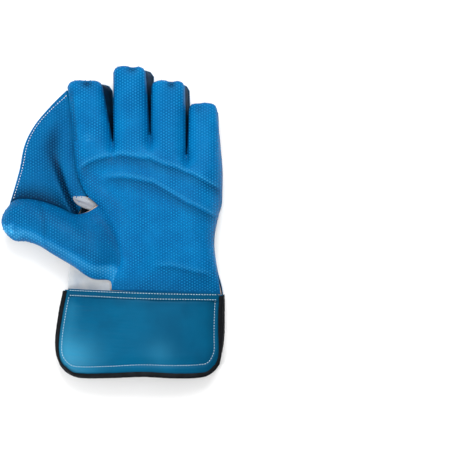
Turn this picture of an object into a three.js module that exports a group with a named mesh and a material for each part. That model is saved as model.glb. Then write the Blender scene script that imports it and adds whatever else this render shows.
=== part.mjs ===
// A left-hand wicketkeeping glove lying palm up, in millimetres, +Y to the fingertips, thumb at -X.
import * as THREE from 'three';

// Driving sizes of the hand, cuff, thumb and web in plan
const PALM_WIDTH = 162;
const PALM_LENGTH = 160;
const CUFF_WIDTH = 184;
const CUFF_LENGTH = 96;
const CUFF_SHIFT = -10;
const INDEX_LENGTH = 67;
const MIDDLE_LENGTH = 82;
const RING_LENGTH = 67;
const LITTLE_LENGTH = 43;
const THUMB_REACH = 122;
const THUMB_WIDTH = 56;
const WEB_REACH = 62;

// Heights of the outer surfaces above the floor
const PALM_HEIGHT = 45;
const FINGER_HEIGHT = 33;
const FINGER_EDGE_HEIGHT = 23;
const FINGER_LIFT = 15;
const WRIST_HEIGHT = 36;
const WRIST_SIDE_HEIGHT = 19;
const HEEL_HEIGHT = 20;
const HAND_SEAM_HEIGHT = 7.8;
const THUMB_HEIGHT = 48;
const THUMB_EDGE_HEIGHT = 24;
const THUMB_BELLY = 6;
const TONGUE_HEIGHT = 21.2;
const TONGUE_CROWN = 2;
const TONGUE_HALF_LENGTH = 14.5;
const TONGUE_HALF_WIDTH = 5.6;
const TONGUE_SLOPE = 0.3;
const WEB_EDGE_HEIGHT = 20;
const WEB_ROOT_HEIGHT = 19;
const EDGE_RISE = 4.8;
const FINGER_CURL = 3;

// Walls, clearances and small details
const FACING_WALL = 3;
const BACK_WALL = 2.2;
const SIDE_WALL = 1.2;
const WEB_WALL = 2.2;
const CUFF_WALL = 4;
const BAND_WALL = 1.2;
const BAND_WIDTH = 8;
const LINING_WALL = 1.5;
const GAP = 0.35;
const BINDING_WIDTH = 5.4;
const BINDING_WALL = 1;
const BINDING_EASE = 0.85;
const SIDE_INSET = 1.3;
const LINING_SEAM = 11;
const WELT_WIDTH = 1.6;
const WELT_HEIGHT = 2;
const PALM_GROOVE = 2.4;
const WRIST_GROOVE = 2;
const FINGERTIP_ROUND = 9;
const FINGER_CORNER = 7.5;
const TIP_DART = 2;

// Grid counts
const FINGER_CELLS = 6;
const FINGER_ROWS = 6;
const TIP_ROWS = 3;
const THUMB_ROWS = 11;
const GROOVE_SPREAD = 0.024;

// Palm lengths are shares of PALM_WIDTH from its middle and of PALM_LENGTH from the wrist seam.
const palmSpot = (x, y) => [x * PALM_WIDTH, y * PALM_LENGTH];
// Cuff lengths are shares of CUFF_WIDTH from its middle and of CUFF_LENGTH down from the wrist seam.
const cuffSpot = (x, y) => [CUFF_SHIFT + x * CUFF_WIDTH, -y * CUFF_LENGTH];

// Each finger of the palm side: root corners in the palm's shares, and sideways places of its tip corners
const FACING_FINGERS = [
  { name: 'index', length: INDEX_LENGTH, tipLeft: -0.533, tipRight: -0.297,
    rootLeft: [-0.5, 1.0], rootRight: [-0.233, 1.0] },
  { name: 'middle', length: MIDDLE_LENGTH, tipLeft: -0.226, tipRight: -0.01,
    rootLeft: [-0.233, 1.0], rootRight: [0.016, 1.047] },
  { name: 'ring', length: RING_LENGTH, tipLeft: 0.024, tipRight: 0.25,
    rootLeft: [0.016, 1.047], rootRight: [0.258, 0.912] },
  { name: 'little', length: LITTLE_LENGTH, tipLeft: 0.273, tipRight: 0.464,
    rootLeft: [0.258, 0.912], rootRight: [0.499, 0.845] },
];
// The finger backs, whose slits run deeper than those of the palm side
const BACK_FINGERS = [
  { name: 'index', length: INDEX_LENGTH, tipLeft: -0.517, tipRight: -0.243,
    rootLeft: [-0.473, 0.851], rootRight: [-0.207, 0.736] },
  { name: 'middle', length: MIDDLE_LENGTH, tipLeft: -0.232, tipRight: 0.037,
    rootLeft: [-0.207, 0.736], rootRight: [0.043, 0.743] },
  { name: 'ring', length: RING_LENGTH, tipLeft: 0.048, tipRight: 0.277,
    rootLeft: [0.043, 0.743], rootRight: [0.29, 0.696] },
  { name: 'little', length: LITTLE_LENGTH, tipLeft: 0.29, tipRight: 0.47,
    rootLeft: [0.29, 0.696], rootRight: [0.497, 0.669] },
];
const SLIT_SHARES = [0, 0.26, 0.51, 0.76, 1];

// Left edge of the palm: along the thumb mound to the crotch, then up beside the web
const PALM_LEFT = [
  { t: 0, x: -0.24, y: 0.004 },
  { t: 0.1, x: -0.21, y: 0.1 },
  { t: 0.2, x: -0.17, y: 0.19 },
  { t: 0.33, x: -0.185, y: 0.3 },
  { t: 0.46, x: -0.227, y: 0.42 },
  { t: 0.53, x: -0.275, y: 0.49 },
  { t: 0.58, x: -0.333, y: 0.574 },
  { t: 0.64, x: -0.4, y: 0.635 },
  { t: 0.72, x: -0.445, y: 0.71 },
  { t: 0.82, x: -0.48, y: 0.82 },
  { t: 1, x: -0.5, y: 1.0 },
];
const PALM_RIGHT = [
  { t: 0, x: 0.488, y: -0.03 },
  { t: 0.15, x: 0.47, y: 0.1 },
  { t: 0.3, x: 0.45, y: 0.24 },
  { t: 0.4, x: 0.44, y: 0.34 },
  { t: 0.55, x: 0.462, y: 0.46 },
  { t: 0.7, x: 0.492, y: 0.6 },
  { t: 0.85, x: 0.5, y: 0.73 },
  { t: 1, x: 0.499, y: 0.845 },
];
// The three creases that cross the palm, as shares of the way from wrist to finger slits
const PALM_CREASES = [
  { s: 0, wrist: 0.16, lower: 0.7, upper: 0.8 },
  { s: 0.1, wrist: 0.165, lower: 0.74, upper: 0.855 },
  { s: 0.2, wrist: 0.17, lower: 0.76, upper: 0.89 },
  { s: 0.3, wrist: 0.175, lower: 0.757, upper: 0.9 },
  { s: 0.4, wrist: 0.175, lower: 0.73, upper: 0.87 },
  { s: 0.5, wrist: 0.175, lower: 0.695, upper: 0.842 },
  { s: 0.6, wrist: 0.172, lower: 0.677, upper: 0.842 },
  { s: 0.7, wrist: 0.168, lower: 0.657, upper: 0.86 },
  { s: 0.8, wrist: 0.162, lower: 0.637, upper: 0.856 },
  { s: 0.9, wrist: 0.155, lower: 0.61, upper: 0.82 },
  { s: 1, wrist: 0.15, lower: 0.585, upper: 0.785 },
];
// Heights along the palm as shares: its middle of PALM_HEIGHT, its thumb-side edge of THUMB_EDGE_HEIGHT
const PALM_RISE = [
  { t: 0, middle: 0.8, left: 1.37 },
  { t: 0.12, middle: 0.82, left: 1.4 },
  { t: 0.3, middle: 0.95, left: 1.45 },
  { t: 0.45, middle: 1, left: 1.38 },
  { t: 0.58, middle: 1.02, left: 1.08 },
  { t: 0.8, middle: 1, left: 0.96 },
  { t: 1, middle: 0.93, left: 0.96 },
];
// Thumb outline: lengths are shares of THUMB_REACH left of the crotch, and of THUMB_WIDTH above its axis
const THUMB_UPPER = [
  { t: 0.08, y: 0.26 },
  { t: 0.2, y: 0.2 },
  { t: 0.33, y: 0.32 },
  { t: 0.5, y: 0.45 },
  { t: 0.64, y: 0.5 },
  { t: 0.75, y: 0.47 },
  { t: 0.83, y: 0.28 },
];
const THUMB_LOWER = [
  { t: -0.115, y: -1.09 },
  { t: 0.05, y: -1.05 },
  { t: 0.23, y: -0.8 },
  { t: 0.41, y: -0.57 },
  { t: 0.52, y: -0.42 },
  { t: 0.64, y: -0.33 },
  { t: 0.75, y: -0.31 },
  { t: 0.83, y: -0.16 },
];
const THUMB_AXIS = 0.446;
const THUMB_SADDLE = [
  { u: 0, crown: 0.75, lower: 1.37, upper: 1.08 },
  { u: 0.15, crown: 0.92, lower: 1.22, upper: 1.02 },
  { u: 0.35, crown: 1, lower: 1.04, upper: 1 },
  { u: 0.65, crown: 0.98, lower: 0.96, upper: 0.98 },
  { u: 0.88, crown: 0.86, lower: 0.94, upper: 0.96 },
  { u: 1, crown: 0.76, lower: 0.94, upper: 0.94 },
];
// Web: outer edge in shares of WEB_REACH out from the index finger's side and of its own length
const WEB_OUTER = [
  { t: 0, x: 1, y: 0.6 },
  { t: 0.2, x: 0.95, y: 0.8 },
  { t: 0.4, x: 0.85, y: 0.98 },
  { t: 0.6, x: 0.67, y: 1.115 },
  { t: 0.8, x: 0.38, y: 1.245 },
  { t: 1, x: 0.1, y: 1.35 },
];
// Back panel: its two edges run from the cuff's rounded corner to the finger slits
const BACK_LEFT = [
  { t: 0, cuff: true, x: -0.365, y: 0.83 },
  { t: 0.08, cuff: true, x: -0.398, y: 0.607 },
  { t: 0.16, cuff: true, x: -0.402, y: 0.326 },
  { t: 0.3, x: -0.51, y: 0.054 },
  { t: 0.42, x: -0.497, y: 0.264 },
  { t: 0.55, x: -0.467, y: 0.493 },
  { t: 0.65, x: -0.444, y: 0.628 },
  { t: 0.74, x: -0.42, y: 0.723 },
  { t: 0.86, x: -0.44, y: 0.79 },
  { t: 1, x: -0.473, y: 0.851 },
];
const BACK_RIGHT = [
  { t: 0, cuff: true, x: 0.468, y: 0.843 },
  { t: 0.08, cuff: true, x: 0.494, y: 0.607 },
  { t: 0.16, cuff: true, x: 0.499, y: 0.326 },
  { t: 0.28, x: 0.5, y: -0.014 },
  { t: 0.4, x: 0.463, y: 0.142 },
  { t: 0.52, x: 0.443, y: 0.31 },
  { t: 0.65, x: 0.46, y: 0.466 },
  { t: 0.8, x: 0.493, y: 0.58 },
  { t: 1, x: 0.497, y: 0.669 },
];
const BACK_BOTTOM = [
  { t: 0, x: -0.365, y: 0.83 },
  { t: 0.04, x: -0.324, y: 0.91 },
  { t: 0.1, x: -0.253, y: 0.966 },
  { t: 0.5, x: 0.053, y: 0.983 },
  { t: 0.9, x: 0.365, y: 0.978 },
  { t: 0.96, x: 0.424, y: 0.933 },
  { t: 1, x: 0.468, y: 0.843 },
];
// Cuff flap of the palm side
const FLAP_LEFT = [
  { t: 0, x: -0.456, y: 0.854 },
  { t: 0.15, x: -0.482, y: 0.73 },
  { t: 0.35, x: -0.487, y: 0.55 },
  { t: 0.65, x: -0.468, y: 0.27 },
  { t: 1, x: -0.441, y: 0.006 },
];
const FLAP_RIGHT = [
  { t: 0, x: 0.465, y: 0.843 },
  { t: 0.15, x: 0.482, y: 0.685 },
  { t: 0.4, x: 0.482, y: 0.44 },
  { t: 0.7, x: 0.485, y: 0.225 },
  { t: 1, x: 0.491, y: 0.062 },
];
const FLAP_BOTTOM = [
  { t: 0, x: -0.456, y: 0.854 },
  { t: 0.05, x: -0.418, y: 0.92 },
  { t: 0.12, x: -0.353, y: 0.966 },
  { t: 0.3, x: -0.165, y: 0.96 },
  { t: 0.5, x: 0.024, y: 0.944 },
  { t: 0.75, x: 0.235, y: 0.966 },
  { t: 0.9, x: 0.382, y: 0.96 },
  { t: 0.96, x: 0.43, y: 0.916 },
  { t: 1, x: 0.465, y: 0.843 },
];
// Lining sleeve: its sides at stations from the cuff's mouth up into the hand
const SLEEVE = [
  { t: 0, cuff: true, y: 0.795, left: -0.37, right: 0.42 },
  { t: 0.3, cuff: true, y: 0.55, left: -0.447, right: 0.459 },
  { t: 0.65, cuff: true, y: 0.1, left: -0.429, right: 0.465 },
  { t: 0.8, cuff: true, y: -0.07, left: -0.426, right: 0.465 },
  { t: 1, cuff: true, y: -0.3, left: -0.412, right: 0.444 },
];

// Small maths helpers
const mix = (a, b, k) => a + (b - a) * k;
const clamp = (v, lo, hi) => Math.min(hi, Math.max(lo, v));
const ease = (lo, hi, v) => {
  const k = clamp((v - lo) / (hi - lo), 0, 1);
  return k * k * (3 - 2 * k);
};
const bump = (d, spread) => Math.exp(-((d / spread) ** 2));
const dome = (q) => Math.sqrt(Math.max(0, 1 - Math.abs(q) ** 3.2));

// Reads a column of a table at a place between its rows, along a smooth curve
function read(table, column, at, key = 't') {
  const last = table.length - 1;
  const place = clamp(at, table[0][key], table[last][key]);
  let i = 0;
  while (i < last - 1 && place > table[i + 1][key]) i += 1;
  const slope = (n) => {
    const a = table[Math.max(0, n - 1)];
    const b = table[Math.min(last, n + 1)];
    return (b[column] - a[column]) / (b[key] - a[key]);
  };
  const span = table[i + 1][key] - table[i][key];
  const k = (place - table[i][key]) / span;
  const p0 = table[i][column];
  const p1 = table[i + 1][column];
  const m0 = slope(i) * span;
  const m1 = slope(i + 1) * span;
  return (2 * k ** 3 - 3 * k ** 2 + 1) * p0 + (k ** 3 - 2 * k ** 2 + k) * m0
    + (3 * k ** 2 - 2 * k ** 3) * p1 + (k ** 3 - k ** 2) * m1;
}
const spotRow = (row) => (row.cuff ? cuffSpot(row.x, row.y) : palmSpot(row.x, row.y));
// Turns a table of shares into one of millimetres, so that palm and cuff rows can mix
function placed(table, spot = spotRow) {
  return table.map((row) => {
    const [x, y] = spot(row);
    return { t: row.t, x, y };
  });
}
const curve = (table) => (t) => [read(table, 'x', t), read(table, 'y', t)];

// Fills four edge curves with a smooth sheet of plan points
function fill(left, right, bottom, top) {
  const c00 = bottom(0);
  const c10 = bottom(1);
  const c01 = top(0);
  const c11 = top(1);
  return (s, t) => [0, 1].map((i) => (1 - s) * left(t)[i] + s * right(t)[i]
    + (1 - t) * bottom(s)[i] + t * top(s)[i]
    - (1 - s) * (1 - t) * c00[i] - s * (1 - t) * c10[i] - (1 - s) * t * c01[i] - s * t * c11[i]);
}

// Gives an open patch of quads its wall: outer points, inner points and a rim along each open edge
function thicken(points, quads, wall) {
  const normals = points.map(() => new THREE.Vector3());
  for (const quad of quads) {
    const [a, b, c, d] = quad.map((i) => points[i]);
    const n = new THREE.Vector3().subVectors(c, a).cross(new THREE.Vector3().subVectors(d, b));
    quad.forEach((i) => normals[i].add(n));
  }
  const inner = points.map((p, i) => p.clone().addScaledVector(normals[i].normalize(), -wall));
  const count = points.length;
  const index = [];
  const edges = new Map();
  for (const [a, b, c, d] of quads) {
    index.push(a, b, c, a, c, d);
    index.push(count + a, count + c, count + b, count + a, count + d, count + c);
    for (const [p, q] of [[a, b], [b, c], [c, d], [d, a]]) edges.set(`${p} ${q}`, [p, q]);
  }
  for (const [p, q] of edges.values()) {
    if (edges.has(`${q} ${p}`)) continue;
    index.push(q, p, count + p, q, count + p, count + q);
  }
  return solid([...points, ...inner], index);
}

function solid(points, index) {
  const geometry = new THREE.BufferGeometry();
  geometry.setAttribute('position', new THREE.Float32BufferAttribute(points.flatMap((p) => p.toArray()), 3));
  geometry.setIndex(index);
  return geometry;
}

// Makes a walled sheet from a function of s and t; up says that its outer side looks up
function sheet(surface, sCells, tCells, wall, up, tPlaces) {
  const points = [];
  const quads = [];
  for (let j = 0; j <= tCells; j += 1) {
    for (let i = 0; i <= sCells; i += 1) {
      points.push(new THREE.Vector3(...surface(i / sCells, tPlaces ? tPlaces[j] : j / tCells)));
    }
  }
  const at = (i, j) => j * (sCells + 1) + i;
  for (let j = 0; j < tCells; j += 1) {
    for (let i = 0; i < sCells; i += 1) {
      const quad = [at(i, j), at(i + 1, j), at(i + 1, j + 1), at(i, j + 1)];
      quads.push(up ? quad : quad.reverse());
    }
  }
  return thicken(points, quads, wall);
}

// Fingers curl up from the floor towards their tips
const KNUCKLE = 0.72 * PALM_LENGTH;
const liftAt = (y) => FINGER_LIFT * (Math.max(0, y - KNUCKLE) / (PALM_LENGTH - KNUCKLE + MIDDLE_LENGTH)) ** 2;

// Plan place on a finger: sigma across from its left edge, v from root to tip, inset from its outline
function fingerSpot(finger, sigma, v, inset, trim = 0) {
  const [lx, ly] = palmSpot(...finger.rootLeft);
  const [rx, ry] = palmSpot(...finger.rootRight);
  const tip = PALM_LENGTH + finger.length - inset - trim;
  const corner = FINGER_CORNER * (1 - dome(2 * sigma - 1));
  const left = mix(lx, finger.tipLeft * PALM_WIDTH, v) + inset;
  const right = mix(rx, finger.tipRight * PALM_WIDTH, v) - inset;
  return [mix(left, right, sigma), mix(mix(ly, ry, sigma), tip - corner, v)];
}

// The palm's heel, the cuff flap, its band and the lining sleeve share one arch
const flapLeft = curve(placed(FLAP_LEFT, (row) => cuffSpot(row.x, row.y)));
const flapRight = curve(placed(FLAP_RIGHT, (row) => cuffSpot(row.x, row.y)));
const flapBottom = curve(placed(FLAP_BOTTOM, (row) => cuffSpot(row.x, row.y)));
const arch = (q) => WRIST_SIDE_HEIGHT + (WRIST_HEIGHT - WRIST_SIDE_HEIGHT) * (1 - Math.abs(q) ** 2.2);

// The palm facing: one sheet of palm, four fingers and thumb
const palmLeft = curve(placed(PALM_LEFT));
const palmRight = curve(placed(PALM_RIGHT));
const CROTCH = 0.58;
function rootLine(fingers) {
  return (s) => {
    let f = 0;
    while (f < 3 && s > SLIT_SHARES[f + 1]) f += 1;
    const k = (s - SLIT_SHARES[f]) / (SLIT_SHARES[f + 1] - SLIT_SHARES[f]);
    const a = palmSpot(...fingers[f].rootLeft);
    const b = palmSpot(...fingers[f].rootRight);
    return [mix(a[0], b[0], k), mix(a[1], b[1], k)];
  };
}
const straight = (a, b) => (s) => [mix(a[0], b[0], s), mix(a[1], b[1], s)];
const palmPlan = fill(palmLeft, palmRight, straight(palmLeft(0), palmRight(0)), rootLine(FACING_FINGERS));
const palmMiddle = (t) => PALM_HEIGHT * read(PALM_RISE, 'middle', t);
const palmLeftHeight = (t) => THUMB_EDGE_HEIGHT * read(PALM_RISE, 'left', t);
const palmRightHeight = (t) => mix(HEEL_HEIGHT, HAND_SEAM_HEIGHT, ease(0.3, 0.6, t));

function palmHeight(s, t) {
  const [left, right] = [flapLeft(1)[0], flapRight(1)[0]];
  const x = mix(palmLeft(0)[0], palmRight(0)[0], s);
  return mix(arch(2 * (x - left) / (right - left) - 1), palmSwell(s, t), ease(0.03, 0.2, t));
}
function palmSwell(s, t) {
  const middle = palmMiddle(t);
  const creases = ['wrist', 'lower', 'upper'].map((name) => read(PALM_CREASES, name, s, 's'));
  const mound = Math.max(0, 1 - s / 0.3) ** 2;
  const fingerSide = 1 - dome(Math.max(0, 1 - s / (SLIT_SHARES[1] / 2)));
  const left = mix(mound, fingerSide, ease(0.62, 0.95, t));
  const rightFrom = mix(0.72, (SLIT_SHARES[3] + 1) / 2, ease(0.7, 1, t));
  const right = 1 - dome(Math.max(0, (s - rightFrom) / (1 - rightFrom)));
  let f = 0;
  while (f < 3 && s > SLIT_SHARES[f + 1]) f += 1;
  const q = 2 * (s - SLIT_SHARES[f]) / (SLIT_SHARES[f + 1] - SLIT_SHARES[f]) - 1;
  const outside = (f === 0 && q < 0) || (f === 3 && q > 0);
  const slit = outside ? 0 : (1 - dome(q)) * ease(0.84, 1, t) ** 1.5;
  const fade = ease(0, 0.16, s) * (1 - ease(0.92, 1, s));
  const grooves = PALM_GROOVE * (bump(t - creases[1], GROOVE_SPREAD) + bump(t - creases[2], GROOVE_SPREAD))
    + WRIST_GROOVE * bump(t - creases[0], GROOVE_SPREAD);
  return middle - (middle - palmLeftHeight(t)) * left - (middle - palmRightHeight(t)) * right
    - (middle - FINGER_EDGE_HEIGHT) * slit - grooves * fade;
}
const palmPoint = (s, t) => {
  const [x, y] = palmPlan(s, t);
  return [x, y, palmHeight(s, t) + liftAt(y)];
};

// Rows of the palm follow its creases, with a row on each side of a crease
function palmRows(s) {
  const wrist = read(PALM_CREASES, 'wrist', s, 's');
  const lower = read(PALM_CREASES, 'lower', s, 's');
  const upper = read(PALM_CREASES, 'upper', s, 's');
  const step = GROOVE_SPREAD * 1.4;
  const rows = [0, wrist / 2, wrist - step, wrist, wrist + step];
  for (let k = 1; k <= 3; k += 1) rows.push(mix(wrist + step, lower - step, k / 4));
  rows.push(lower - step, lower, lower + step, (lower + upper) / 2, upper - step, upper, upper + step);
  rows.push((upper + step + 1) / 2, 1);
  return rows;
}
const CROTCH_ROW = 7;

// Height of a finger's outer surface, without its lift
function fingerHeight(finger, sigma, v) {
  const crown = mix(palmMiddle(1), FINGER_HEIGHT, v);
  const outer = finger.name === 'little' && sigma > 0.5;
  const edge = outer ? mix(HAND_SEAM_HEIGHT, FINGER_EDGE_HEIGHT, ease(0, 0.75, v)) : FINGER_EDGE_HEIGHT;
  return edge + (crown - edge) * dome(2 * sigma - 1);
}

// Thumb outline and heights
const thumbPlace = (row) => [
  palmLeft(CROTCH)[0] - row.t * THUMB_REACH,
  THUMB_AXIS * PALM_LENGTH + row.y * THUMB_WIDTH,
];
function thumbEdge(table, start) {
  const rows = [start, ...table.map(thumbPlace)].map(([x, y]) => new THREE.Vector3(x, y, 0));
  const path = new THREE.CatmullRomCurve3(rows, false, 'centripetal');
  return (u) => path.getPointAt(u).toArray().slice(0, 2);
}
const thumbUpper = thumbEdge(THUMB_UPPER, palmLeft(CROTCH));
const thumbLower = thumbEdge(THUMB_LOWER, palmLeft(0));
function thumbTip(v) {
  const a = thumbLower(1);
  const b = thumbUpper(1);
  return [mix(a[0], b[0], v) - 0.035 * THUMB_REACH * Math.sin(Math.PI * v), mix(a[1], b[1], v)];
}
const thumbRootT = (v) => {
  const rows = palmRows(0);
  const k = v * CROTCH_ROW;
  const i = Math.min(CROTCH_ROW - 1, Math.floor(k));
  const last = (n) => (n === CROTCH_ROW ? CROTCH : rows[n]);
  return mix(last(i), last(i + 1), k - i);
};
const thumbPlan = fill(thumbLower, thumbUpper, (v) => palmLeft(thumbRootT(v)), thumbTip);
function thumbHeight(v, u) {
  const lower = THUMB_EDGE_HEIGHT * read(THUMB_SADDLE, 'lower', u, 'u');
  const upper = THUMB_EDGE_HEIGHT * read(THUMB_SADDLE, 'upper', u, 'u');
  const crown = THUMB_HEIGHT * read(THUMB_SADDLE, 'crown', u, 'u');
  const edge = mix(lower, upper, v);
  const tip = Math.sqrt(Math.max(0, 1 - Math.max(0, (u - 0.8) / 0.2) ** 2));
  const body = edge + (crown - edge) * dome(2 * v - 1) * tip;
  return mix(palmHeight(0, thumbRootT(v)), body, ease(0, 0.22, u));
}
const thumbRows = (n) => 1 - (1 - n / THUMB_ROWS) ** 1.25;

function palmFacing() {
  const points = [];
  const quads = [];
  const add = (p) => points.push(new THREE.Vector3(...p)) - 1;
  const columns = 4 * FINGER_CELLS;
  const shareOf = (i) => {
    const f = Math.min(3, Math.floor(i / FINGER_CELLS));
    return mix(SLIT_SHARES[f], SLIT_SHARES[f + 1], i / FINGER_CELLS - f);
  };
  const palm = [];
  for (let i = 0; i <= columns; i += 1) {
    const s = shareOf(i);
    palm.push(palmRows(s).map((t, j) => add(palmPoint(s, i === 0 && j === CROTCH_ROW ? CROTCH : t))));
  }
  const last = palm[0].length - 1;
  for (let i = 0; i < columns; i += 1) {
    const [a, b] = [palm[i], palm[i + 1]];
    for (let j = 0; j < last; j += 1) quads.push([a[j], b[j], b[j + 1], a[j + 1]]);
  }
  FACING_FINGERS.forEach((finger, f) => {
    let below = palm.slice(f * FINGER_CELLS, (f + 1) * FINGER_CELLS + 1).map((column) => column[last]);
    for (let r = 1; r <= FINGER_ROWS + TIP_ROWS; r += 1) {
      const row = below.map((_, c) => {
        const sigma = c / FINGER_CELLS;
        const round = FINGERTIP_ROUND / finger.length;
        const turn = Math.max(0, r - FINGER_ROWS) / TIP_ROWS * Math.PI / 2;
        const v = r <= FINGER_ROWS ? (1 - round) * r / FINGER_ROWS : 1 - round * (1 - Math.sin(turn));
        const [x, y] = fingerSpot(finger, sigma, v, 0);
        const z = fingerHeight(finger, sigma, v);
        const dart = c === FINGER_CELLS / 2 ? TIP_DART * Math.sin(turn) : 0;
        const tipZ = mix(FINGER_EDGE_HEIGHT, z, Math.cos(turn));
        return add([x, y - dart, tipZ + liftAt(y)]);
      });
      for (let c = 0; c < FINGER_CELLS; c += 1) quads.push([below[c], below[c + 1], row[c + 1], row[c]]);
      below = row;
    }
  });
  let right = palm[0].slice(0, CROTCH_ROW + 1);
  for (let n = 1; n <= THUMB_ROWS; n += 1) {
    const u = thumbRows(n);
    const row = right.map((_, j) => {
      const v = j / CROTCH_ROW;
      return add([...thumbPlan(v, u), thumbHeight(v, u)]);
    });
    for (let j = 0; j < CROTCH_ROW; j += 1) quads.push([right[j], right[j + 1], row[j + 1], row[j]]);
    right = row;
  }
  return thicken(points, quads, FACING_WALL);
}

// The back panel: flat on the floor, its edges risen, its fingers curled
const backPlan = fill(curve(placed(BACK_LEFT)), curve(placed(BACK_RIGHT)),
  curve(placed(BACK_BOTTOM, (row) => cuffSpot(row.x, row.y))), rootLine(BACK_FINGERS));
function backRise(s, t) {
  const side = Math.max(0, (Math.abs(2 * s - 1) - 0.87) / 0.13);
  const mouth = Math.max(0, 1 - t / 0.07);
  return EDGE_RISE * Math.max(side, mouth);
}
const BACK_ROWS = [0, 0.035, 0.07, 0.11, 0.18, 0.26, 0.34, 0.42, 0.5, 0.58, 0.66, 0.74, 0.82, 0.91, 1];
const BACK_CELLS = 4;
function backFingerHeight(sigma, v) {
  return mix(EDGE_RISE, FINGER_CURL, ease(0, 0.2, v)) * Math.abs(2 * sigma - 1) ** 3;
}
function backPanel() {
  const points = [];
  const quads = [];
  const add = (p) => points.push(new THREE.Vector3(...p)) - 1;
  const columns = 4 * BACK_CELLS;
  const grid = [];
  for (let i = 0; i <= columns; i += 1) {
    const f = Math.min(3, Math.floor(i / BACK_CELLS));
    const s = mix(SLIT_SHARES[f], SLIT_SHARES[f + 1], i / BACK_CELLS - f);
    grid.push(BACK_ROWS.map((t) => {
      const [x, y] = backPlan(s, t);
      return add([x, y, backRise(s, t) + liftAt(y)]);
    }));
  }
  const last = BACK_ROWS.length - 1;
  for (let i = 0; i < columns; i += 1) {
    for (let j = 0; j < last; j += 1) {
      const quad = [grid[i][j + 1], grid[i + 1][j + 1], grid[i + 1][j], grid[i][j]];
      // The diagonal of a quad runs up to the nearer cuff corner
      quads.push(i < columns / 2 ? [...quad.slice(1), quad[0]] : quad);
    }
  }
  BACK_FINGERS.forEach((finger, f) => {
    let below = grid.slice(f * BACK_CELLS, (f + 1) * BACK_CELLS + 1).map((column) => column[last]);
    for (let r = 1; r <= 7; r += 1) {
      const row = below.map((_, c) => {
        const [x, y] = fingerSpot(finger, c / BACK_CELLS, r / 7, 0, 2);
        return add([x, y, backFingerHeight(c / BACK_CELLS, r / 7) + liftAt(y)]);
      });
      for (let c = 0; c < BACK_CELLS; c += 1) quads.push([row[c], row[c + 1], below[c + 1], below[c]]);
      below = row;
    }
  });
  return thicken(points, quads, BACK_WALL);
}

// A finger's side strip, from one slit round the tip to the other
function sideStrip(f) {
  const inset = SIDE_INSET;
  const stations = [];
  const start = f === 0 ? 0.04 : 0.05;
  for (let k = 0; k <= 5; k += 1) stations.push([0, mix(start, 0.9, k / 5)]);
  for (let k = 0; k <= 6; k += 1) stations.push([k / 6, 1]);
  const end = f === 3 ? 0.5 : 0.05;
  for (let k = 0; k <= 5; k += 1) stations.push([1, mix(0.9, end, k / 5)]);
  const surface = (s, t) => {
    const [sigma, v] = stations[Math.round(s * (stations.length - 1))];
    const [tx, ty] = fingerSpot(FACING_FINGERS[f], sigma, v, inset);
    const [bx, by] = fingerSpot(BACK_FINGERS[f], sigma, v, inset, 2);
    const top = fingerEdgeHeight(f, sigma, v) - 0.95 * FACING_WALL - GAP + liftAt(ty);
    const bottom = backFingerHeight(sigma, v) + BACK_WALL + GAP + liftAt(by);
    return [mix(bx, tx, t), mix(by, ty, t), mix(bottom, top, t)];
  };
  return sheet(surface, stations.length - 1, 2, SIDE_WALL, false);
}
function fingerEdgeHeight(f, sigma, v) {
  if (v === 1) return FINGER_EDGE_HEIGHT;
  return fingerHeight(FACING_FINGERS[f], sigma, v);
}

// The web: two sheets between index finger and thumb
const WEB_ROOT = 0.66;
const WEB_TURN = 0.35;
const WEB_END = 0.8;
function webInner(t) {
  const k = Math.max(0, (t - WEB_TURN) / (1 - WEB_TURN));
  const beside = fingerSpot(FACING_FINGERS[0], 0, WEB_END * k, 0);
  const [x, y] = k > 0 ? beside : palmLeft(mix(WEB_ROOT, 1, t / WEB_TURN));
  return [x + SIDE_INSET * (0.3 - 1.2 * k * k), y];
}
const WEB_FOOT_TURN = 0.15;
function webFoot(s) {
  const along = (k) => thumbUpper(mix(0.24, 0.93, k));
  if (s < WEB_FOOT_TURN) return straight(webInner(0), along(0))(s / WEB_FOOT_TURN);
  const [x, y] = along((s - WEB_FOOT_TURN) / (1 - WEB_FOOT_TURN));
  return [x, y - 0.5 * SIDE_INSET];
}
const startAt = ([x, y], rows) => [{ t: 0, x, y }, ...rows.slice(1)];
const webOuterRows = WEB_OUTER.map((row) => ({
  t: row.t,
  x: -0.5 * PALM_WIDTH - row.x * WEB_REACH,
  y: row.y * PALM_LENGTH,
}));
const webOuter = curve(startAt(webFoot(1), webOuterRows));
const webTop = (s) => straight(webInner(1), webOuter(1))(s);
const webPlan = fill(webInner, webOuter, webFoot, webTop);
function webHeight(s, t) {
  const y = webPlan(s, t)[1];
  const root = mix(WEB_ROOT_HEIGHT, WEB_EDGE_HEIGHT, ease(0, 0.55, t));
  const cup = 3.5 * Math.sin(Math.PI * s) * (1 - t);
  return mix(root, WEB_EDGE_HEIGHT, ease(0, 1, s ** 0.8)) - cup + liftAt(y);
}
const webFacing = () => sheet((s, t) => [...webPlan(s, t), webHeight(s, t)], 7, 11, WEB_WALL, false);
function webBack() {
  const under = (s, t) => WEB_WALL + GAP + BACK_WALL + 0.5 * WEB_ROOT_HEIGHT * (1 - s) ** 3 * ease(0, 0.3, t);
  return sheet((s, t) => [...webPlan(s, t), webHeight(s, t) - under(s, t)], 7, 11, BACK_WALL, true);
}

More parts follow.
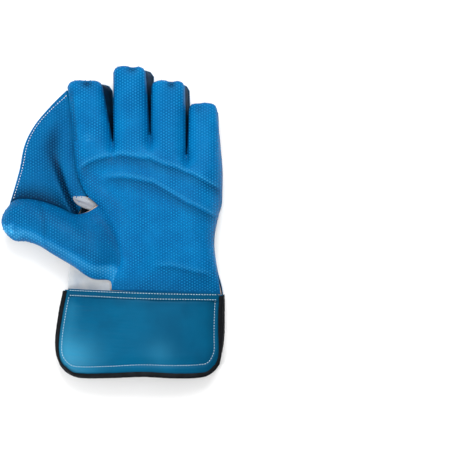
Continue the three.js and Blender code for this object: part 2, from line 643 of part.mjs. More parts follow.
// The thumb's back: a shallow trough that runs in over the back panel's edge
function thumbBack() {
  const backLeft = curve(placed(BACK_LEFT));
  const inset = 2.6;
  const lowerFrom = 0.4;
  const upperFrom = 0.2;
  const lower = (u) => {
    const [x, y] = thumbLower(mix(lowerFrom, 1, u));
    return [x + inset * u, y + inset];
  };
  const upper = (u) => {
    const [x, y] = thumbUpper(mix(upperFrom, 1, u));
    return [x + inset * u, y - inset];
  };
  const root = (v) => {
    const a = lower(0);
    const b = upper(0);
    return [mix(a[0], b[0], v), mix(a[1], b[1], v)];
  };
  const tip = (v) => {
    const [x, y] = thumbTip(v);
    return [x + inset, mix(y, THUMB_AXIS * PALM_LENGTH, 0.12)];
  };
  const plan = fill(lower, upper, root, tip);
  const seat = EDGE_RISE + BACK_WALL + GAP;
  const rim = 0.94 * THUMB_EDGE_HEIGHT - BACK_WALL - 2 * GAP;
  const height = (v, u) => {
    const edge = mix(seat, rim, ease(0.1, 0.5, u));
    const belly = mix(seat, THUMB_BELLY, ease(0.1, 0.5, u));
    return edge - (edge - belly) * dome(2 * v - 1) * Math.sqrt(1 - Math.max(0, (u - 0.75) / 0.25) ** 2);
  };
  return sheet((v, u) => [...plan(v, u), height(v, u)], 7, 9, BACK_WALL, false);
}

// The cuff's palm-side flap
const flapPlan = fill(flapLeft, flapRight, flapBottom, straight(flapLeft(1), flapRight(1)));
const flapPoint = (s, t) => [...flapPlan(s, t), arch(2 * s - 1)];
const FLAP_ROWS = [0, 0.06, 0.13, 0.24, 0.38, 0.54, 0.7, 0.87, 1];
const FLAP_CELLS = 18;
const cuffPanel = () => sheet(flapPoint, FLAP_CELLS, FLAP_ROWS.length - 1, CUFF_WALL, true, FLAP_ROWS);

// The band ends inside the bindings, at this share of the cuff's width from each side
const BAND_TUCK = 0.026;
function cuffBand() {
  const from = flapLeft(1);
  const to = flapRight(1);
  const surface = (s, t) => {
    const across = mix(BAND_TUCK, 1 - BAND_TUCK, s);
    const [x, y] = straight(from, to)(across);
    return [x, y + mix(-0.72, 0.28, t) * BAND_WIDTH, arch(2 * across - 1) + 2 * GAP + BAND_WALL];
  };
  return sheet(surface, FLAP_CELLS, 2, BAND_WALL, true);
}

function wristLining() {
  const around = 28;
  const stations = 7;
  const clear = CUFF_WALL + 2 * GAP;
  const backEdge = [cuffSpot(BACK_LEFT[2].x, 0)[0], cuffSpot(BACK_RIGHT[2].x, 0)[0]];
  const rimHeight = EDGE_RISE + BINDING_WALL + BINDING_EASE + 2 * GAP;
  const floorAt = (x) => {
    const inside = Math.min(x - backEdge[0], backEdge[1] - x);
    return BACK_WALL + 2 * GAP + rimHeight * clamp(1 - (inside - BINDING_WIDTH) / 10, 0, 1) ** 2;
  };
  const ring = (k, t) => {
    const angle = 2 * Math.PI * k / around;
    const left = CUFF_SHIFT + read(SLEEVE, 'left', t) * CUFF_WIDTH;
    const right = CUFF_SHIFT + read(SLEEVE, 'right', t) * CUFF_WIDTH;
    const c = Math.cos(angle);
    const s = Math.sin(angle);
    const x = mix(left, right, (1 + Math.sign(c) * Math.abs(c) ** 0.8) / 2);
    const y = -read(SLEEVE, 'y', t) * CUFF_LENGTH;
    const roof = arch(clamp((x - CUFF_SHIFT - 0.02 * CUFF_WIDTH) / (0.455 * CUFF_WIDTH), -1, 1)) - clear;
    const z = mix(LINING_SEAM, s >= 0 ? roof : floorAt(x), Math.abs(s) ** 0.6);
    return new THREE.Vector3(x, y, z);
  };
  const points = [];
  const quads = [];
  for (let j = 0; j <= stations; j += 1) {
    for (let k = 0; k < around; k += 1) points.push(ring(k, j / stations));
  }
  for (let j = 0; j < stations; j += 1) {
    for (let k = 0; k < around; k += 1) {
      const next = (k + 1) % around;
      quads.push([(j + 1) * around + k, (j + 1) * around + next, j * around + next, j * around + k]);
    }
  }
  return thicken(points, quads, LINING_WALL);
}

// Binding: a folded strip whose section is a channel, swept round an edge
function binding(stations, wall) {
  const half = wall / 2 + BINDING_EASE;
  const outer = half + BINDING_WALL;
  const nose = BINDING_EASE + BINDING_WALL;
  const lip = nose - BINDING_WIDTH;
  const section = [
    [lip, half], [BINDING_EASE, half], [BINDING_EASE, -half], [lip, -half],
    [lip, -outer], [BINDING_EASE, -outer], [nose, -0.5 * outer],
    [nose, 0.5 * outer], [BINDING_EASE, outer], [lip, outer],
  ];
  const points = [];
  const index = [];
  const steps = stations.length - 1;
  for (const { edge, inside, normal } of stations) {
    const out = edge.clone().sub(inside).normalize();
    const middle = edge.clone().addScaledVector(normal, -wall / 2);
    for (const [n, w] of section) {
      points.push(middle.clone().addScaledVector(out, n).addScaledVector(normal, w));
    }
  }
  const m = section.length;
  for (let i = 0; i < steps; i += 1) {
    for (let k = 0; k < m; k += 1) {
      const a = i * m + k;
      const b = i * m + (k + 1) % m;
      index.push(a, b, b + m, a, b + m, a + m);
    }
  }
  const caps = THREE.ShapeUtils.triangulateShape(section.map(([n, w]) => new THREE.Vector2(n, w)), []);
  for (const [a, b, c] of caps) {
    index.push(a, c, b);
    index.push(steps * m + a, steps * m + b, steps * m + c);
  }
  return solid(points, orient(points, index));
}
// Turns the faces of a closed shape outwards
function orient(points, index) {
  let volume = 0;
  for (let i = 0; i < index.length; i += 3) {
    const [a, b, c] = [index[i], index[i + 1], index[i + 2]].map((n) => points[n]);
    volume += a.dot(b.clone().cross(c));
  }
  return volume > 0 ? index : index.slice().reverse();
}
// Walks a sheet's hem by its mesh corners: down the left side, along the bottom and up the right side
function hem(surface, rows, cells, length, up) {
  const near = (n) => (n === 0 ? 1 : 0.4 * (n === 1));
  const ds = BINDING_WIDTH / CUFF_WIDTH;
  const dt = BINDING_WIDTH / length;
  const spots = [];
  rows.forEach((t, n) => spots.unshift({ s: 0, t, ds, dt: dt * near(n) }));
  for (let i = 1; i < cells; i += 1) {
    spots.push({ s: i / cells, t: 0, ds: ds * (near(i) - near(cells - i)), dt });
  }
  rows.forEach((t, n) => spots.push({ s: 1, t, ds: -ds, dt: dt * near(n) }));
  const at = (s, t) => new THREE.Vector3(...surface(s, t));
  return spots.map((spot, n) => {
    const edge = at(spot.s, spot.t);
    const inside = at(spot.s + spot.ds, spot.t + spot.dt);
    const next = spots[Math.min(n + 1, spots.length - 1)];
    const before = spots[Math.max(n - 1, 0)];
    const along = at(next.s, next.t).sub(at(before.s, before.t));
    const normal = along.cross(inside.clone().sub(edge)).normalize();
    return { edge, inside, normal: up ? normal : normal.negate() };
  });
}
const flapBinding = () => binding(hem(flapPoint, FLAP_ROWS, FLAP_CELLS, CUFF_LENGTH, true), CUFF_WALL);
const BACK_HEM_ROWS = 6;
const backSurface = (s, t) => {
  const [x, y] = backPlan(s, t);
  return [x, y, backRise(s, t) + liftAt(y)];
};
function backBinding() {
  const columns = 4 * BACK_CELLS;
  const even = (s, t) => {
    const f = Math.min(3, Math.floor(s * 4));
    return backSurface(mix(SLIT_SHARES[f], SLIT_SHARES[f + 1], s * 4 - f), t);
  };
  const length = CUFF_LENGTH + BACK_FINGERS[1].rootLeft[1] * PALM_LENGTH;
  return binding(hem(even, BACK_ROWS.slice(0, BACK_HEM_ROWS), columns, length, false), BACK_WALL);
}

// White tongue of lining in the crotch of the thumb
function crotchLining() {
  const [cx, cy] = palmLeft(CROTCH);
  const surface = (s, t) => {
    const x = mix(-1, 1, s);
    const half = TONGUE_HALF_WIDTH * Math.sqrt(1.04 - x * x);
    const z = TONGUE_HEIGHT + TONGUE_CROWN * (1 - x * x) * Math.sin(Math.PI * t);
    const along = TONGUE_HALF_LENGTH * (x - 0.9);
    return [cx + along, cy - TONGUE_SLOPE * along + mix(-half, half, t), z];
  };
  return sheet(surface, 8, 4, LINING_WALL, true);
}

// Standing seam along a finger back's left edge
function welt(f) {
  const surface = (s, t) => {
    const v = mix(0.2, 0.96, t);
    const [x, y] = fingerSpot(BACK_FINGERS[f], 0, v, 0, 2);
    const [wide] = fingerSpot(BACK_FINGERS[f], 1 / BACK_CELLS, v, 0, 2);
    const along = mix(0.2, 0.2 + WELT_WIDTH, s);
    const z = mix(backFingerHeight(0, v), backFingerHeight(1 / BACK_CELLS, v), along / (wide - x));
    return [x + along, y, z + liftAt(y) - GAP];
  };
  return sheet(surface, 1, 9, WELT_HEIGHT, true);
}

const LOOKS = {
  rubber: { color: 0x177fc0, roughness: 0.45 },
  leather: { color: 0x0673a6, roughness: 0.4 },
  dark: { color: 0x0b3350, roughness: 0.5 },
  cuff: { color: 0x0a6c9c, roughness: 0.35 },
  black: { color: 0x14171c, roughness: 0.45 },
  white: { color: 0xd8d5d2, roughness: 0.7 },
};
const glove = new THREE.Group();
function piece(name, geometry, look) {
  const material = new THREE.MeshStandardMaterial({ ...LOOKS[look], metalness: 0 });
  const mesh = new THREE.Mesh(geometry, material);
  mesh.name = name;
  glove.add(mesh);
}
piece('palm_facing', palmFacing(), 'rubber');
piece('back_panel', backPanel(), 'leather');
FACING_FINGERS.forEach((finger, f) => {
  piece(`${finger.name}_sidewall`, sideStrip(f), 'dark');
  piece(`${finger.name}_welt`, welt(f), 'white');
});
piece('thumb_back', thumbBack(), 'leather');
piece('web_facing', webFacing(), 'rubber');
piece('web_back', webBack(), 'leather');
piece('cuff_panel', cuffPanel(), 'cuff');
piece('cuff_band', cuffBand(), 'cuff');
piece('cuff_binding_palm', flapBinding(), 'black');
piece('cuff_binding_back', backBinding(), 'black');
piece('wrist_lining', wristLining(), 'white');
piece('crotch_lining', crotchLining(), 'white');

// The origin is the middle of the outline in plan, on the floor
glove.updateMatrixWorld(true);
const box = new THREE.Box3().setFromObject(glove);
const centre = box.getCenter(new THREE.Vector3());
glove.position.set(-centre.x, -centre.y, -box.min.z);

export default glove;
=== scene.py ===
"""A left-hand wicketkeeping glove lying palm up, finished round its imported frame."""
import math
from functools import lru_cache

import bmesh
import bpy
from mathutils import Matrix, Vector, noise
from mathutils.bvhtree import BVHTree
from mathutils.kdtree import KDTree


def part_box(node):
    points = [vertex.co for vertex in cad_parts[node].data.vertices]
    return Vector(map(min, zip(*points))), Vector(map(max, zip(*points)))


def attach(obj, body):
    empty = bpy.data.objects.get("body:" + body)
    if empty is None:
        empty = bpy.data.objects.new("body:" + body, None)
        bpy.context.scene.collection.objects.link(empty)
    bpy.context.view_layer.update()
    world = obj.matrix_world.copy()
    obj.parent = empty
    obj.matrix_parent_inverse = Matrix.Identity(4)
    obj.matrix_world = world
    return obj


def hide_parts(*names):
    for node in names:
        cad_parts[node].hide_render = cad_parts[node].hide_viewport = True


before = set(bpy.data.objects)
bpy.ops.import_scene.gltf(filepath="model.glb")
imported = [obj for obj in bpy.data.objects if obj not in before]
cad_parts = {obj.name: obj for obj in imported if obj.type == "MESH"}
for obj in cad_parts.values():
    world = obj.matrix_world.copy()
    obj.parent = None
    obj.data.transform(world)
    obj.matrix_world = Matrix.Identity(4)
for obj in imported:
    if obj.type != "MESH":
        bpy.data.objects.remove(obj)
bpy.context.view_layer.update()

# Driving sizes in millimetres, the same ones that the solids were built from
PALM_WIDTH = 162
PALM_LENGTH = 160
CUFF_WIDTH = 184
CUFF_LENGTH = 96
CUFF_SHIFT = -10
INDEX_LENGTH = 67
MIDDLE_LENGTH = 82
RING_LENGTH = 67
LITTLE_LENGTH = 43
THUMB_REACH = 122
THUMB_WIDTH = 56
WEB_REACH = 62
PALM_HEIGHT = 45
FINGER_HEIGHT = 33
FINGER_EDGE_HEIGHT = 23
FINGER_LIFT = 15
WRIST_HEIGHT = 36
WRIST_SIDE_HEIGHT = 19
HEEL_HEIGHT = 20
HAND_SEAM_HEIGHT = 7.8
THUMB_HEIGHT = 48
THUMB_EDGE_HEIGHT = 24
THUMB_BELLY = 6
TONGUE_HEIGHT = 21.2
TONGUE_CROWN = 2
TONGUE_HALF_LENGTH = 14.5
TONGUE_HALF_WIDTH = 5.6
TONGUE_SLOPE = 0.3
WEB_EDGE_HEIGHT = 20
WEB_ROOT_HEIGHT = 19
EDGE_RISE = 4.8
FINGER_CURL = 3
FACING_WALL = 3
BACK_WALL = 2.2
SIDE_WALL = 1.2
WEB_WALL = 2.2
CUFF_WALL = 4
BAND_WALL = 1.2
BAND_WIDTH = 8
LINING_WALL = 1.5
GAP = 0.35
BINDING_WIDTH = 5.4
BINDING_WALL = 1
BINDING_EASE = 0.85
SIDE_INSET = 1.3
LINING_SEAM = 11
WELT_WIDTH = 1.6
WELT_HEIGHT = 2
FINGERTIP_ROUND = 9
FINGER_CORNER = 7.5
GROOVE_SPREAD = 0.024

# Finish sizes in millimetres
PIMPLE_PITCH = 3.1
PIMPLE_RADIUS = 0.95
PIMPLE_HEIGHT = 0.6
PIMPLE_MARGIN = 2.6
WEB_SEAM = 3.4
STITCH_PITCH = 3.0
STITCH_LENGTH = 2.1
STITCH_RADIUS = 0.34
SEAM_LEFT = 6.8
SEAM_RIGHT = 7.6
SEAM_BOTTOM = 10.8
SEAM_ROUND = 12
APPLIQUE_WALL = 0.5
# The back leather lies this far above the floor side of its solid, which leaves room for panels and thread
BACK_CLEAR = 0.95

# Each finger: its length, then root corners and tip corners in the palm's shares
FACING_FINGERS = [
    ("index", INDEX_LENGTH, (-0.5, 1.0), (-0.233, 1.0), -0.533, -0.297),
    ("middle", MIDDLE_LENGTH, (-0.233, 1.0), (0.016, 1.047), -0.226, -0.01),
    ("ring", RING_LENGTH, (0.016, 1.047), (0.258, 0.912), 0.024, 0.25),
    ("little", LITTLE_LENGTH, (0.258, 0.912), (0.499, 0.845), 0.273, 0.464),
]
BACK_FINGERS = [
    ("index", INDEX_LENGTH, (-0.473, 0.851), (-0.207, 0.736), -0.517, -0.243),
    ("middle", MIDDLE_LENGTH, (-0.207, 0.736), (0.043, 0.743), -0.232, 0.037),
    ("ring", RING_LENGTH, (0.043, 0.743), (0.29, 0.696), 0.048, 0.277),
    ("little", LITTLE_LENGTH, (0.29, 0.696), (0.497, 0.669), 0.29, 0.47),
]
SLITS = [0, 0.26, 0.51, 0.76, 1]

# Edges in plan: t along the edge, then x and y in shares of the palm
PALM_LEFT = [
    (0, -0.24, 0.004), (0.1, -0.21, 0.1), (0.2, -0.17, 0.19), (0.33, -0.185, 0.3),
    (0.46, -0.227, 0.42), (0.53, -0.275, 0.49), (0.58, -0.333, 0.574), (0.64, -0.4, 0.635),
    (0.72, -0.445, 0.71), (0.82, -0.48, 0.82), (1, -0.5, 1.0),
]
PALM_RIGHT = [
    (0, 0.488, -0.03), (0.15, 0.47, 0.1), (0.3, 0.45, 0.24), (0.4, 0.44, 0.34),
    (0.55, 0.462, 0.46), (0.7, 0.492, 0.6), (0.85, 0.5, 0.73), (1, 0.499, 0.845),
]
# Creases across the palm: s across, then the wrist, lower and upper crease as shares of the way up
CREASES = (
    (0, 0.16, 0.7, 0.8), (0.1, 0.165, 0.74, 0.855), (0.2, 0.17, 0.76, 0.89), (0.3, 0.175, 0.757, 0.9),
    (0.4, 0.175, 0.73, 0.87), (0.5, 0.175, 0.695, 0.842), (0.6, 0.172, 0.677, 0.842),
    (0.7, 0.168, 0.657, 0.86), (0.8, 0.162, 0.637, 0.856), (0.9, 0.155, 0.61, 0.82), (1, 0.15, 0.585, 0.785),
)
# Heights along the palm: its middle in shares of PALM_HEIGHT, its left edge of THUMB_EDGE_HEIGHT
PALM_RISE = (
    (0, 0.8, 1.37), (0.12, 0.82, 1.4), (0.3, 0.95, 1.45), (0.45, 1, 1.38),
    (0.58, 1.02, 1.08), (0.8, 1, 0.96), (1, 0.93, 0.96),
)
# Thumb edges: shares of THUMB_REACH left of the crotch and of THUMB_WIDTH above its axis
THUMB_UPPER = [
    (0.08, 0.26), (0.2, 0.2), (0.33, 0.32), (0.5, 0.45), (0.64, 0.5), (0.75, 0.47), (0.83, 0.28),
]
THUMB_LOWER = [
    (-0.115, -1.09), (0.05, -1.05), (0.23, -0.8), (0.41, -0.57), (0.52, -0.42), (0.64, -0.33),
    (0.75, -0.31), (0.83, -0.16),
]
THUMB_AXIS = 0.446
# Thumb heights along its length: crown, lower edge and upper edge
THUMB_SADDLE = (
    (0, 0.75, 1.37, 1.08), (0.15, 0.92, 1.22, 1.02), (0.35, 1, 1.04, 1),
    (0.65, 0.98, 0.96, 0.98), (0.88, 0.86, 0.94, 0.96), (1, 0.76, 0.94, 0.94),
)
# Web outer edge: shares of WEB_REACH out from the index finger and of PALM_LENGTH up
WEB_OUTER = [
    (0, 1, 0.6), (0.2, 0.95, 0.8), (0.4, 0.85, 0.98), (0.6, 0.67, 1.115), (0.8, 0.38, 1.245), (1, 0.1, 1.35),
]
# Back panel edges: t, whether the row is in the cuff's shares, x and y
BACK_LEFT = [
    (0, 1, -0.365, 0.83), (0.08, 1, -0.398, 0.607), (0.16, 1, -0.402, 0.326), (0.3, 0, -0.51, 0.054),
    (0.42, 0, -0.497, 0.264), (0.55, 0, -0.467, 0.493), (0.65, 0, -0.444, 0.628), (0.74, 0, -0.42, 0.723),
    (0.86, 0, -0.44, 0.79), (1, 0, -0.473, 0.851),
]
BACK_RIGHT = [
    (0, 1, 0.468, 0.843), (0.08, 1, 0.494, 0.607), (0.16, 1, 0.499, 0.326), (0.28, 0, 0.5, -0.014),
    (0.4, 0, 0.463, 0.142), (0.52, 0, 0.443, 0.31), (0.65, 0, 0.46, 0.466), (0.8, 0, 0.493, 0.58),
    (1, 0, 0.497, 0.669),
]
BACK_BOTTOM = [
    (0, -0.365, 0.83), (0.04, -0.324, 0.91), (0.1, -0.253, 0.966), (0.5, 0.053, 0.983),
    (0.9, 0.365, 0.978), (0.96, 0.424, 0.933), (1, 0.468, 0.843),
]
# Cuff flap edges in the cuff's shares
FLAP_LEFT = [
    (0, -0.456, 0.854), (0.15, -0.482, 0.73), (0.35, -0.487, 0.55), (0.65, -0.468, 0.27), (1, -0.441, 0.006),
]
FLAP_RIGHT = [
    (0, 0.465, 0.843), (0.15, 0.482, 0.685), (0.4, 0.482, 0.44), (0.7, 0.485, 0.225), (1, 0.491, 0.062),
]
FLAP_BOTTOM = [
    (0, -0.456, 0.854), (0.05, -0.418, 0.92), (0.12, -0.353, 0.966), (0.3, -0.165, 0.96), (0.5, 0.024, 0.944),
    (0.75, 0.235, 0.966), (0.9, 0.382, 0.96), (0.96, 0.43, 0.916), (1, 0.465, 0.843),
]
# Lining sleeve stations: t, y, left and right in the cuff's shares
SLEEVE = (
    (0, 0.795, -0.37, 0.42), (0.3, 0.55, -0.447, 0.459), (0.65, 0.1, -0.429, 0.465),
    (0.8, -0.07, -0.426, 0.465), (1, -0.3, -0.412, 0.444),
)


def mix(a, b, k):
    return a + (b - a) * k


def clamp(v, lo, hi):
    return min(hi, max(lo, v))


def ease(lo, hi, v):
    k = clamp((v - lo) / (hi - lo), 0, 1)
    return k * k * (3 - 2 * k)


def bump(distance, spread):
    return math.exp(-((distance / spread) ** 2))


def dome(q):
    return math.sqrt(max(0, 1 - abs(q) ** 3.2))


@lru_cache(maxsize=None)
def read(table, column, at):
    """A column of a table at a place between its rows, along a smooth curve."""
    last = len(table) - 1
    place = clamp(at, table[0][0], table[last][0])
    i = 0
    while i < last - 1 and place > table[i + 1][0]:
        i += 1

    def slope(n):
        a = table[max(0, n - 1)]
        b = table[min(last, n + 1)]
        return (b[column] - a[column]) / (b[0] - a[0])

    span = table[i + 1][0] - table[i][0]
    k = (place - table[i][0]) / span
    p0, p1 = table[i][column], table[i + 1][column]
    m0, m1 = slope(i) * span, slope(i + 1) * span
    return ((2 * k ** 3 - 3 * k ** 2 + 1) * p0 + (k ** 3 - 2 * k ** 2 + k) * m0
            + (3 * k ** 2 - 2 * k ** 3) * p1 + (k ** 3 - k ** 2) * m1)


def palm_spot(x, y):
    return x * PALM_WIDTH, y * PALM_LENGTH


def cuff_spot(x, y):
    return CUFF_SHIFT + x * CUFF_WIDTH, -y * CUFF_LENGTH


def curve(table, spot):
    """A plan curve through a table of shares."""
    placed = tuple((row[0], *spot(*row[-2:])) for row in table)
    return lambda t: (read(placed, 1, t), read(placed, 2, t))


def mixed_curve(table):
    placed = tuple((t, *(cuff_spot(x, y) if in_cuff else palm_spot(x, y))) for t, in_cuff, x, y in table)
    return lambda t: (read(placed, 1, t), read(placed, 2, t))


def fill(left, right, bottom, top):
    """Fills four edge curves with a smooth sheet of plan points."""
    c00, c10, c01, c11 = bottom(0), bottom(1), top(0), top(1)

    def plan(s, t):
        a, b, c, d = left(t), right(t), bottom(s), top(s)
        return tuple((1 - s) * a[i] + s * b[i] + (1 - t) * c[i] + t * d[i]
                     - (1 - s) * (1 - t) * c00[i] - s * (1 - t) * c10[i]
                     - (1 - s) * t * c01[i] - s * t * c11[i] for i in (0, 1))
    return plan


def straight(a, b):
    return lambda s: (mix(a[0], b[0], s), mix(a[1], b[1], s))


# Shared forms
KNUCKLE = 0.72 * PALM_LENGTH


def lift_at(y):
    return FINGER_LIFT * (max(0, y - KNUCKLE) / (PALM_LENGTH - KNUCKLE + MIDDLE_LENGTH)) ** 2


def finger_spot(finger, sigma, v, inset, trim=0):
    name, length, root_left, root_right, tip_left, tip_right = finger
    lx, ly = palm_spot(*root_left)
    rx, ry = palm_spot(*root_right)
    tip = PALM_LENGTH + length - inset - trim
    corner = FINGER_CORNER * (1 - dome(2 * sigma - 1))
    left = mix(lx, tip_left * PALM_WIDTH, v) + inset
    right = mix(rx, tip_right * PALM_WIDTH, v) - inset
    return mix(left, right, sigma), mix(mix(ly, ry, sigma), tip - corner, v)


flap_left = curve(FLAP_LEFT, cuff_spot)
flap_right = curve(FLAP_RIGHT, cuff_spot)
flap_bottom = curve(FLAP_BOTTOM, cuff_spot)
palm_left = curve(PALM_LEFT, palm_spot)
palm_right = curve(PALM_RIGHT, palm_spot)
back_left = mixed_curve(BACK_LEFT)
back_right = mixed_curve(BACK_RIGHT)
CROTCH = 0.58


def arch(q):
    return WRIST_SIDE_HEIGHT + (WRIST_HEIGHT - WRIST_SIDE_HEIGHT) * (1 - abs(q) ** 2.2)


def root_line(fingers):
    def line(s):
        f = finger_at(s)
        k = (s - SLITS[f]) / (SLITS[f + 1] - SLITS[f])
        return straight(palm_spot(*fingers[f][2]), palm_spot(*fingers[f][3]))(k)
    return line


def finger_at(s):
    f = 0
    while f < 3 and s > SLITS[f + 1]:
        f += 1
    return f


# The band ends inside the bindings, at this share of the cuff's width from each side
BAND_TUCK = 0.026
# This share of the band's width lies past the wrist's seam; its middle is crowned by this many mm
BAND_OVER = 0.28
BAND_CROWN = 0.35
# The solids' own place gives the shift from the wrist seam to the shared origin
band_low, band_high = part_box("cuff_band")
band_left = straight(flap_left(1), flap_right(1))(BAND_TUCK)
SHIFT_X = band_low[0] * 1000 - band_left[0]
SHIFT_Y = band_high[1] * 1000 - (band_left[1] + BAND_OVER * BAND_WIDTH)


def metres(point):
    return Vector(((point[0] + SHIFT_X) / 1000, (point[1] + SHIFT_Y) / 1000, point[2] / 1000))


# Materials
def linear(code):
    """An sRGB hex colour as linear red, green, blue and alpha."""
    parts = [int(code[i:i + 2], 16) / 255 for i in (1, 3, 5)]
    return [c / 12.92 if c <= 0.04045 else ((c + 0.055) / 1.055) ** 2.4 for c in parts] + [1.0]


def add(tree, kind, values=None, **settings):
    """Adds a node with its settings; values maps an input to a value or to another node's output."""
    made = tree.nodes.new(kind)
    for key, value in settings.items():
        setattr(made, key, value)
    for key, value in (values or {}).items():
        if isinstance(value, bpy.types.NodeSocket):
            tree.links.new(value, made.inputs[key])
        else:
            made.inputs[key].default_value = value
    return made


# Each finish: colours, size of its colour patches, its grain's kind, size and depth in mm, and its shine
FINISHES = {
    # Moulded natural rubber: even blue, deep blue where shade is painted, pale blue for painted highlights
    # and paler spots, a soft sheen
    "moulded_rubber": dict(base="#005c94", paler_patch="#006aa4", deep="#00294a", patch=24, grain="NOISE",
                           grain_mm=0.9, depth=0.05, rough=0.5, coat=0.0, spec=0.06, pale="#2f9fd8"),
    # The rubber of the pimples: a brighter copy of the same rubber, a painted highlight on their tops
    "moulded_rubber_pimples": dict(base="#007ab8", paler_patch="#058ac6", deep="#003f69", patch=18, grain="NOISE",
                                   grain_mm=0.8, depth=0.02, rough=0.45, coat=0.0, spec=0.1, pale="#6cc0e8"),
    # The rubber facing's cut edge shows its tan backing cloth
    "backing_cloth": dict(base="#c2a483", paler_patch="#d5bd9c", deep="#7c684f", patch=6, grain="NOISE",
                          grain_mm=0.6, depth=0.06, rough=0.85, coat=0),
    # Dyed goatskin of the finger sides: dark, creased, low shine
    "dyed_goatskin": dict(base="#041f36", paler_patch="#072f4b", deep="#04192b", patch=11, grain="VORONOI",
                          grain_mm=1.1, depth=0.16, rough=0.6, coat=0.0, spec=0.15),
    # Coated split leather of the cuff: fine pressed grain and a broad sheen, painted pale at its lower left
    "coated_leather": dict(base="#004d70", paler_patch="#00577c", deep="#00324c", patch=40, grain="VORONOI",
                           grain_mm=0.9, depth=0.1, rough=0.38, coat=0.0, spec=0.06, pale="#2f84a8"),
    # Coated leather of the back: pebbled, a little brighter
    "pebbled_leather": dict(base="#005c86", paler_patch="#006c9a", deep="#013a5c", patch=32, grain="VORONOI",
                            grain_mm=1.7, depth=0.5, rough=0.36, coat=0.0, spec=0.16),
    # Folded woven tape: near black with a fine rib
    "folded_tape": dict(base="#04060a", paler_patch="#0b0f15", deep="#05070a", patch=9, grain="NOISE",
                        grain_mm=0.5, depth=0.08, rough=0.55, coat=0, spec=0.12),
    # Brushed cotton lining: white, matt, greyer where shade is painted in its folds
    "brushed_cotton": dict(base="#b5bdc6", paler_patch="#c9cdd0", deep="#8a8c94", patch=14, grain="NOISE",
                           grain_mm=0.45, depth=0.12, rough=0.95, coat=0, spec=0.05),
    # Foil-faced leather: silver grey with a soft mirror sheen
    "foil_leather": dict(base="#9ba0b2", paler_patch="#c4c9d4", deep="#6c7488", patch=16, grain="VORONOI",
                         grain_mm=1.7, depth=0.4, rough=0.32, coat=0.1, metal=0.55),
    # Navy coated leather: deep, pebbled and shiny beside the foil
    "navy_leather": dict(base="#141b34", paler_patch="#232c4c", deep="#0d1226", patch=20, grain="VORONOI",
                         grain_mm=1.7, depth=0.6, rough=0.3, coat=0.05, spec=0.35),
    # Twisted polyester thread: pale blue
    "polyester_thread": dict(base="#b9dcec", paler_patch="#d8ebf3", deep="#6ea3c2", patch=5, grain="NOISE",
                             grain_mm=0.3, depth=0.05, rough=0.6, coat=0, spec=0.3),
    # White thread of the web's edge: clean and matt
    "white_thread": dict(base="#e6e8ea", paler_patch="#f6f6f4", deep="#b9c0c8", patch=5, grain="NOISE",
                         grain_mm=0.3, depth=0.05, rough=0.7, coat=0, spec=0.3),
    # Painted board under the glove: plain and pale
    "painted_board": dict(base="#fbfbfb", paler_patch="#ffffff", deep="#f0f0f0", patch=200, grain="NOISE",
                          grain_mm=2.0, depth=0.0, rough=0.8, coat=0),
}


def make_material(name, look):
    material = bpy.data.materials.new(name)
    material.use_nodes = True
    tree = material.node_tree
    tree.nodes.clear()
    place = add(tree, "ShaderNodeTexCoord").outputs["Object"]
    patches = add(tree, "ShaderNodeTexNoise", {"Vector": place, "Scale": 1000 / look["patch"], "Detail": 4.0})
    share = add(tree, "ShaderNodeMapRange", {
        "Value": patches.outputs["Fac"], "From Min": 0.38, "From Max": 0.66})
    tone = add(tree, "ShaderNodeMix", {
        0: share.outputs["Result"], 6: linear(look["base"]), 7: linear(look["paler_patch"])}, data_type="RGBA")
    # Painted shade darkens each finish towards deep; painted highlights and paler spots lighten it towards
    # pale
    shade = add(tree, "ShaderNodeAttribute", attribute_name="shade")
    pale_and_highlight = add(tree, "ShaderNodeAttribute", attribute_name="pale_and_highlight")
    bright = add(tree, "ShaderNodeMix", {0: pale_and_highlight.outputs["Fac"], 6: tone.outputs[2],
                                         7: linear(look.get("pale", look["paler_patch"]))}, data_type="RGBA")
    colour = add(tree, "ShaderNodeMix", {
        0: shade.outputs["Fac"], 6: bright.outputs[2], 7: linear(look["deep"])}, data_type="RGBA")
    grain_scale = 1000 / look["grain_mm"]
    if look["grain"] == "VORONOI":
        warp = add(tree, "ShaderNodeTexNoise", {"Vector": place, "Scale": grain_scale / 3, "Detail": 2.0})
        bent = add(tree, "ShaderNodeVectorMath", {0: warp.outputs["Color"], 3: look["grain_mm"] / 1000},
                   operation="SCALE")
        moved = add(tree, "ShaderNodeVectorMath", {0: place, 1: bent.outputs["Vector"]}, operation="ADD")
        grain = add(tree, "ShaderNodeTexVoronoi", {"Vector": moved.outputs["Vector"], "Scale": grain_scale},
                    feature="SMOOTH_F1").outputs["Distance"]
    else:
        grain = add(tree, "ShaderNodeTexNoise",
                    {"Vector": place, "Scale": grain_scale, "Detail": 3.0}).outputs["Fac"]
    relief = add(tree, "ShaderNodeBump", {"Height": grain, "Distance": look["depth"] / 1000, "Strength": 1.0})
    gloss = add(tree, "ShaderNodeMapRange", {
        "Value": patches.outputs["Fac"], "From Min": 0.3, "From Max": 0.7,
        "To Min": min(1, look["rough"] + 0.07), "To Max": max(0, look["rough"] - 0.06)})
    shader = add(tree, "ShaderNodeBsdfPrincipled", {
        "Base Color": colour.outputs[2], "Roughness": gloss.outputs["Result"],
        "Normal": relief.outputs["Normal"]})
    shader.inputs["Metallic"].default_value = look.get("metal", 0)
    shader.inputs["Specular IOR Level"].default_value = look.get("spec", 0.5)
    shader.inputs["Coat Weight"].default_value = look["coat"]
    shader.inputs["Coat Roughness"].default_value = 0.3
    add(tree, "ShaderNodeOutputMaterial", {"Surface": shader.outputs["BSDF"]})
    return material


MATERIALS = {name: make_material(name, look) for name, look in FINISHES.items()}


# Mesh making
def put_in_scene(name, data):
    made = bpy.data.objects.new(name, data)
    bpy.context.scene.collection.objects.link(made)
    return made


def set_values(mesh, name, values):
    mesh.attributes.new(name, "FLOAT", "POINT").data.foreach_set("value", values)


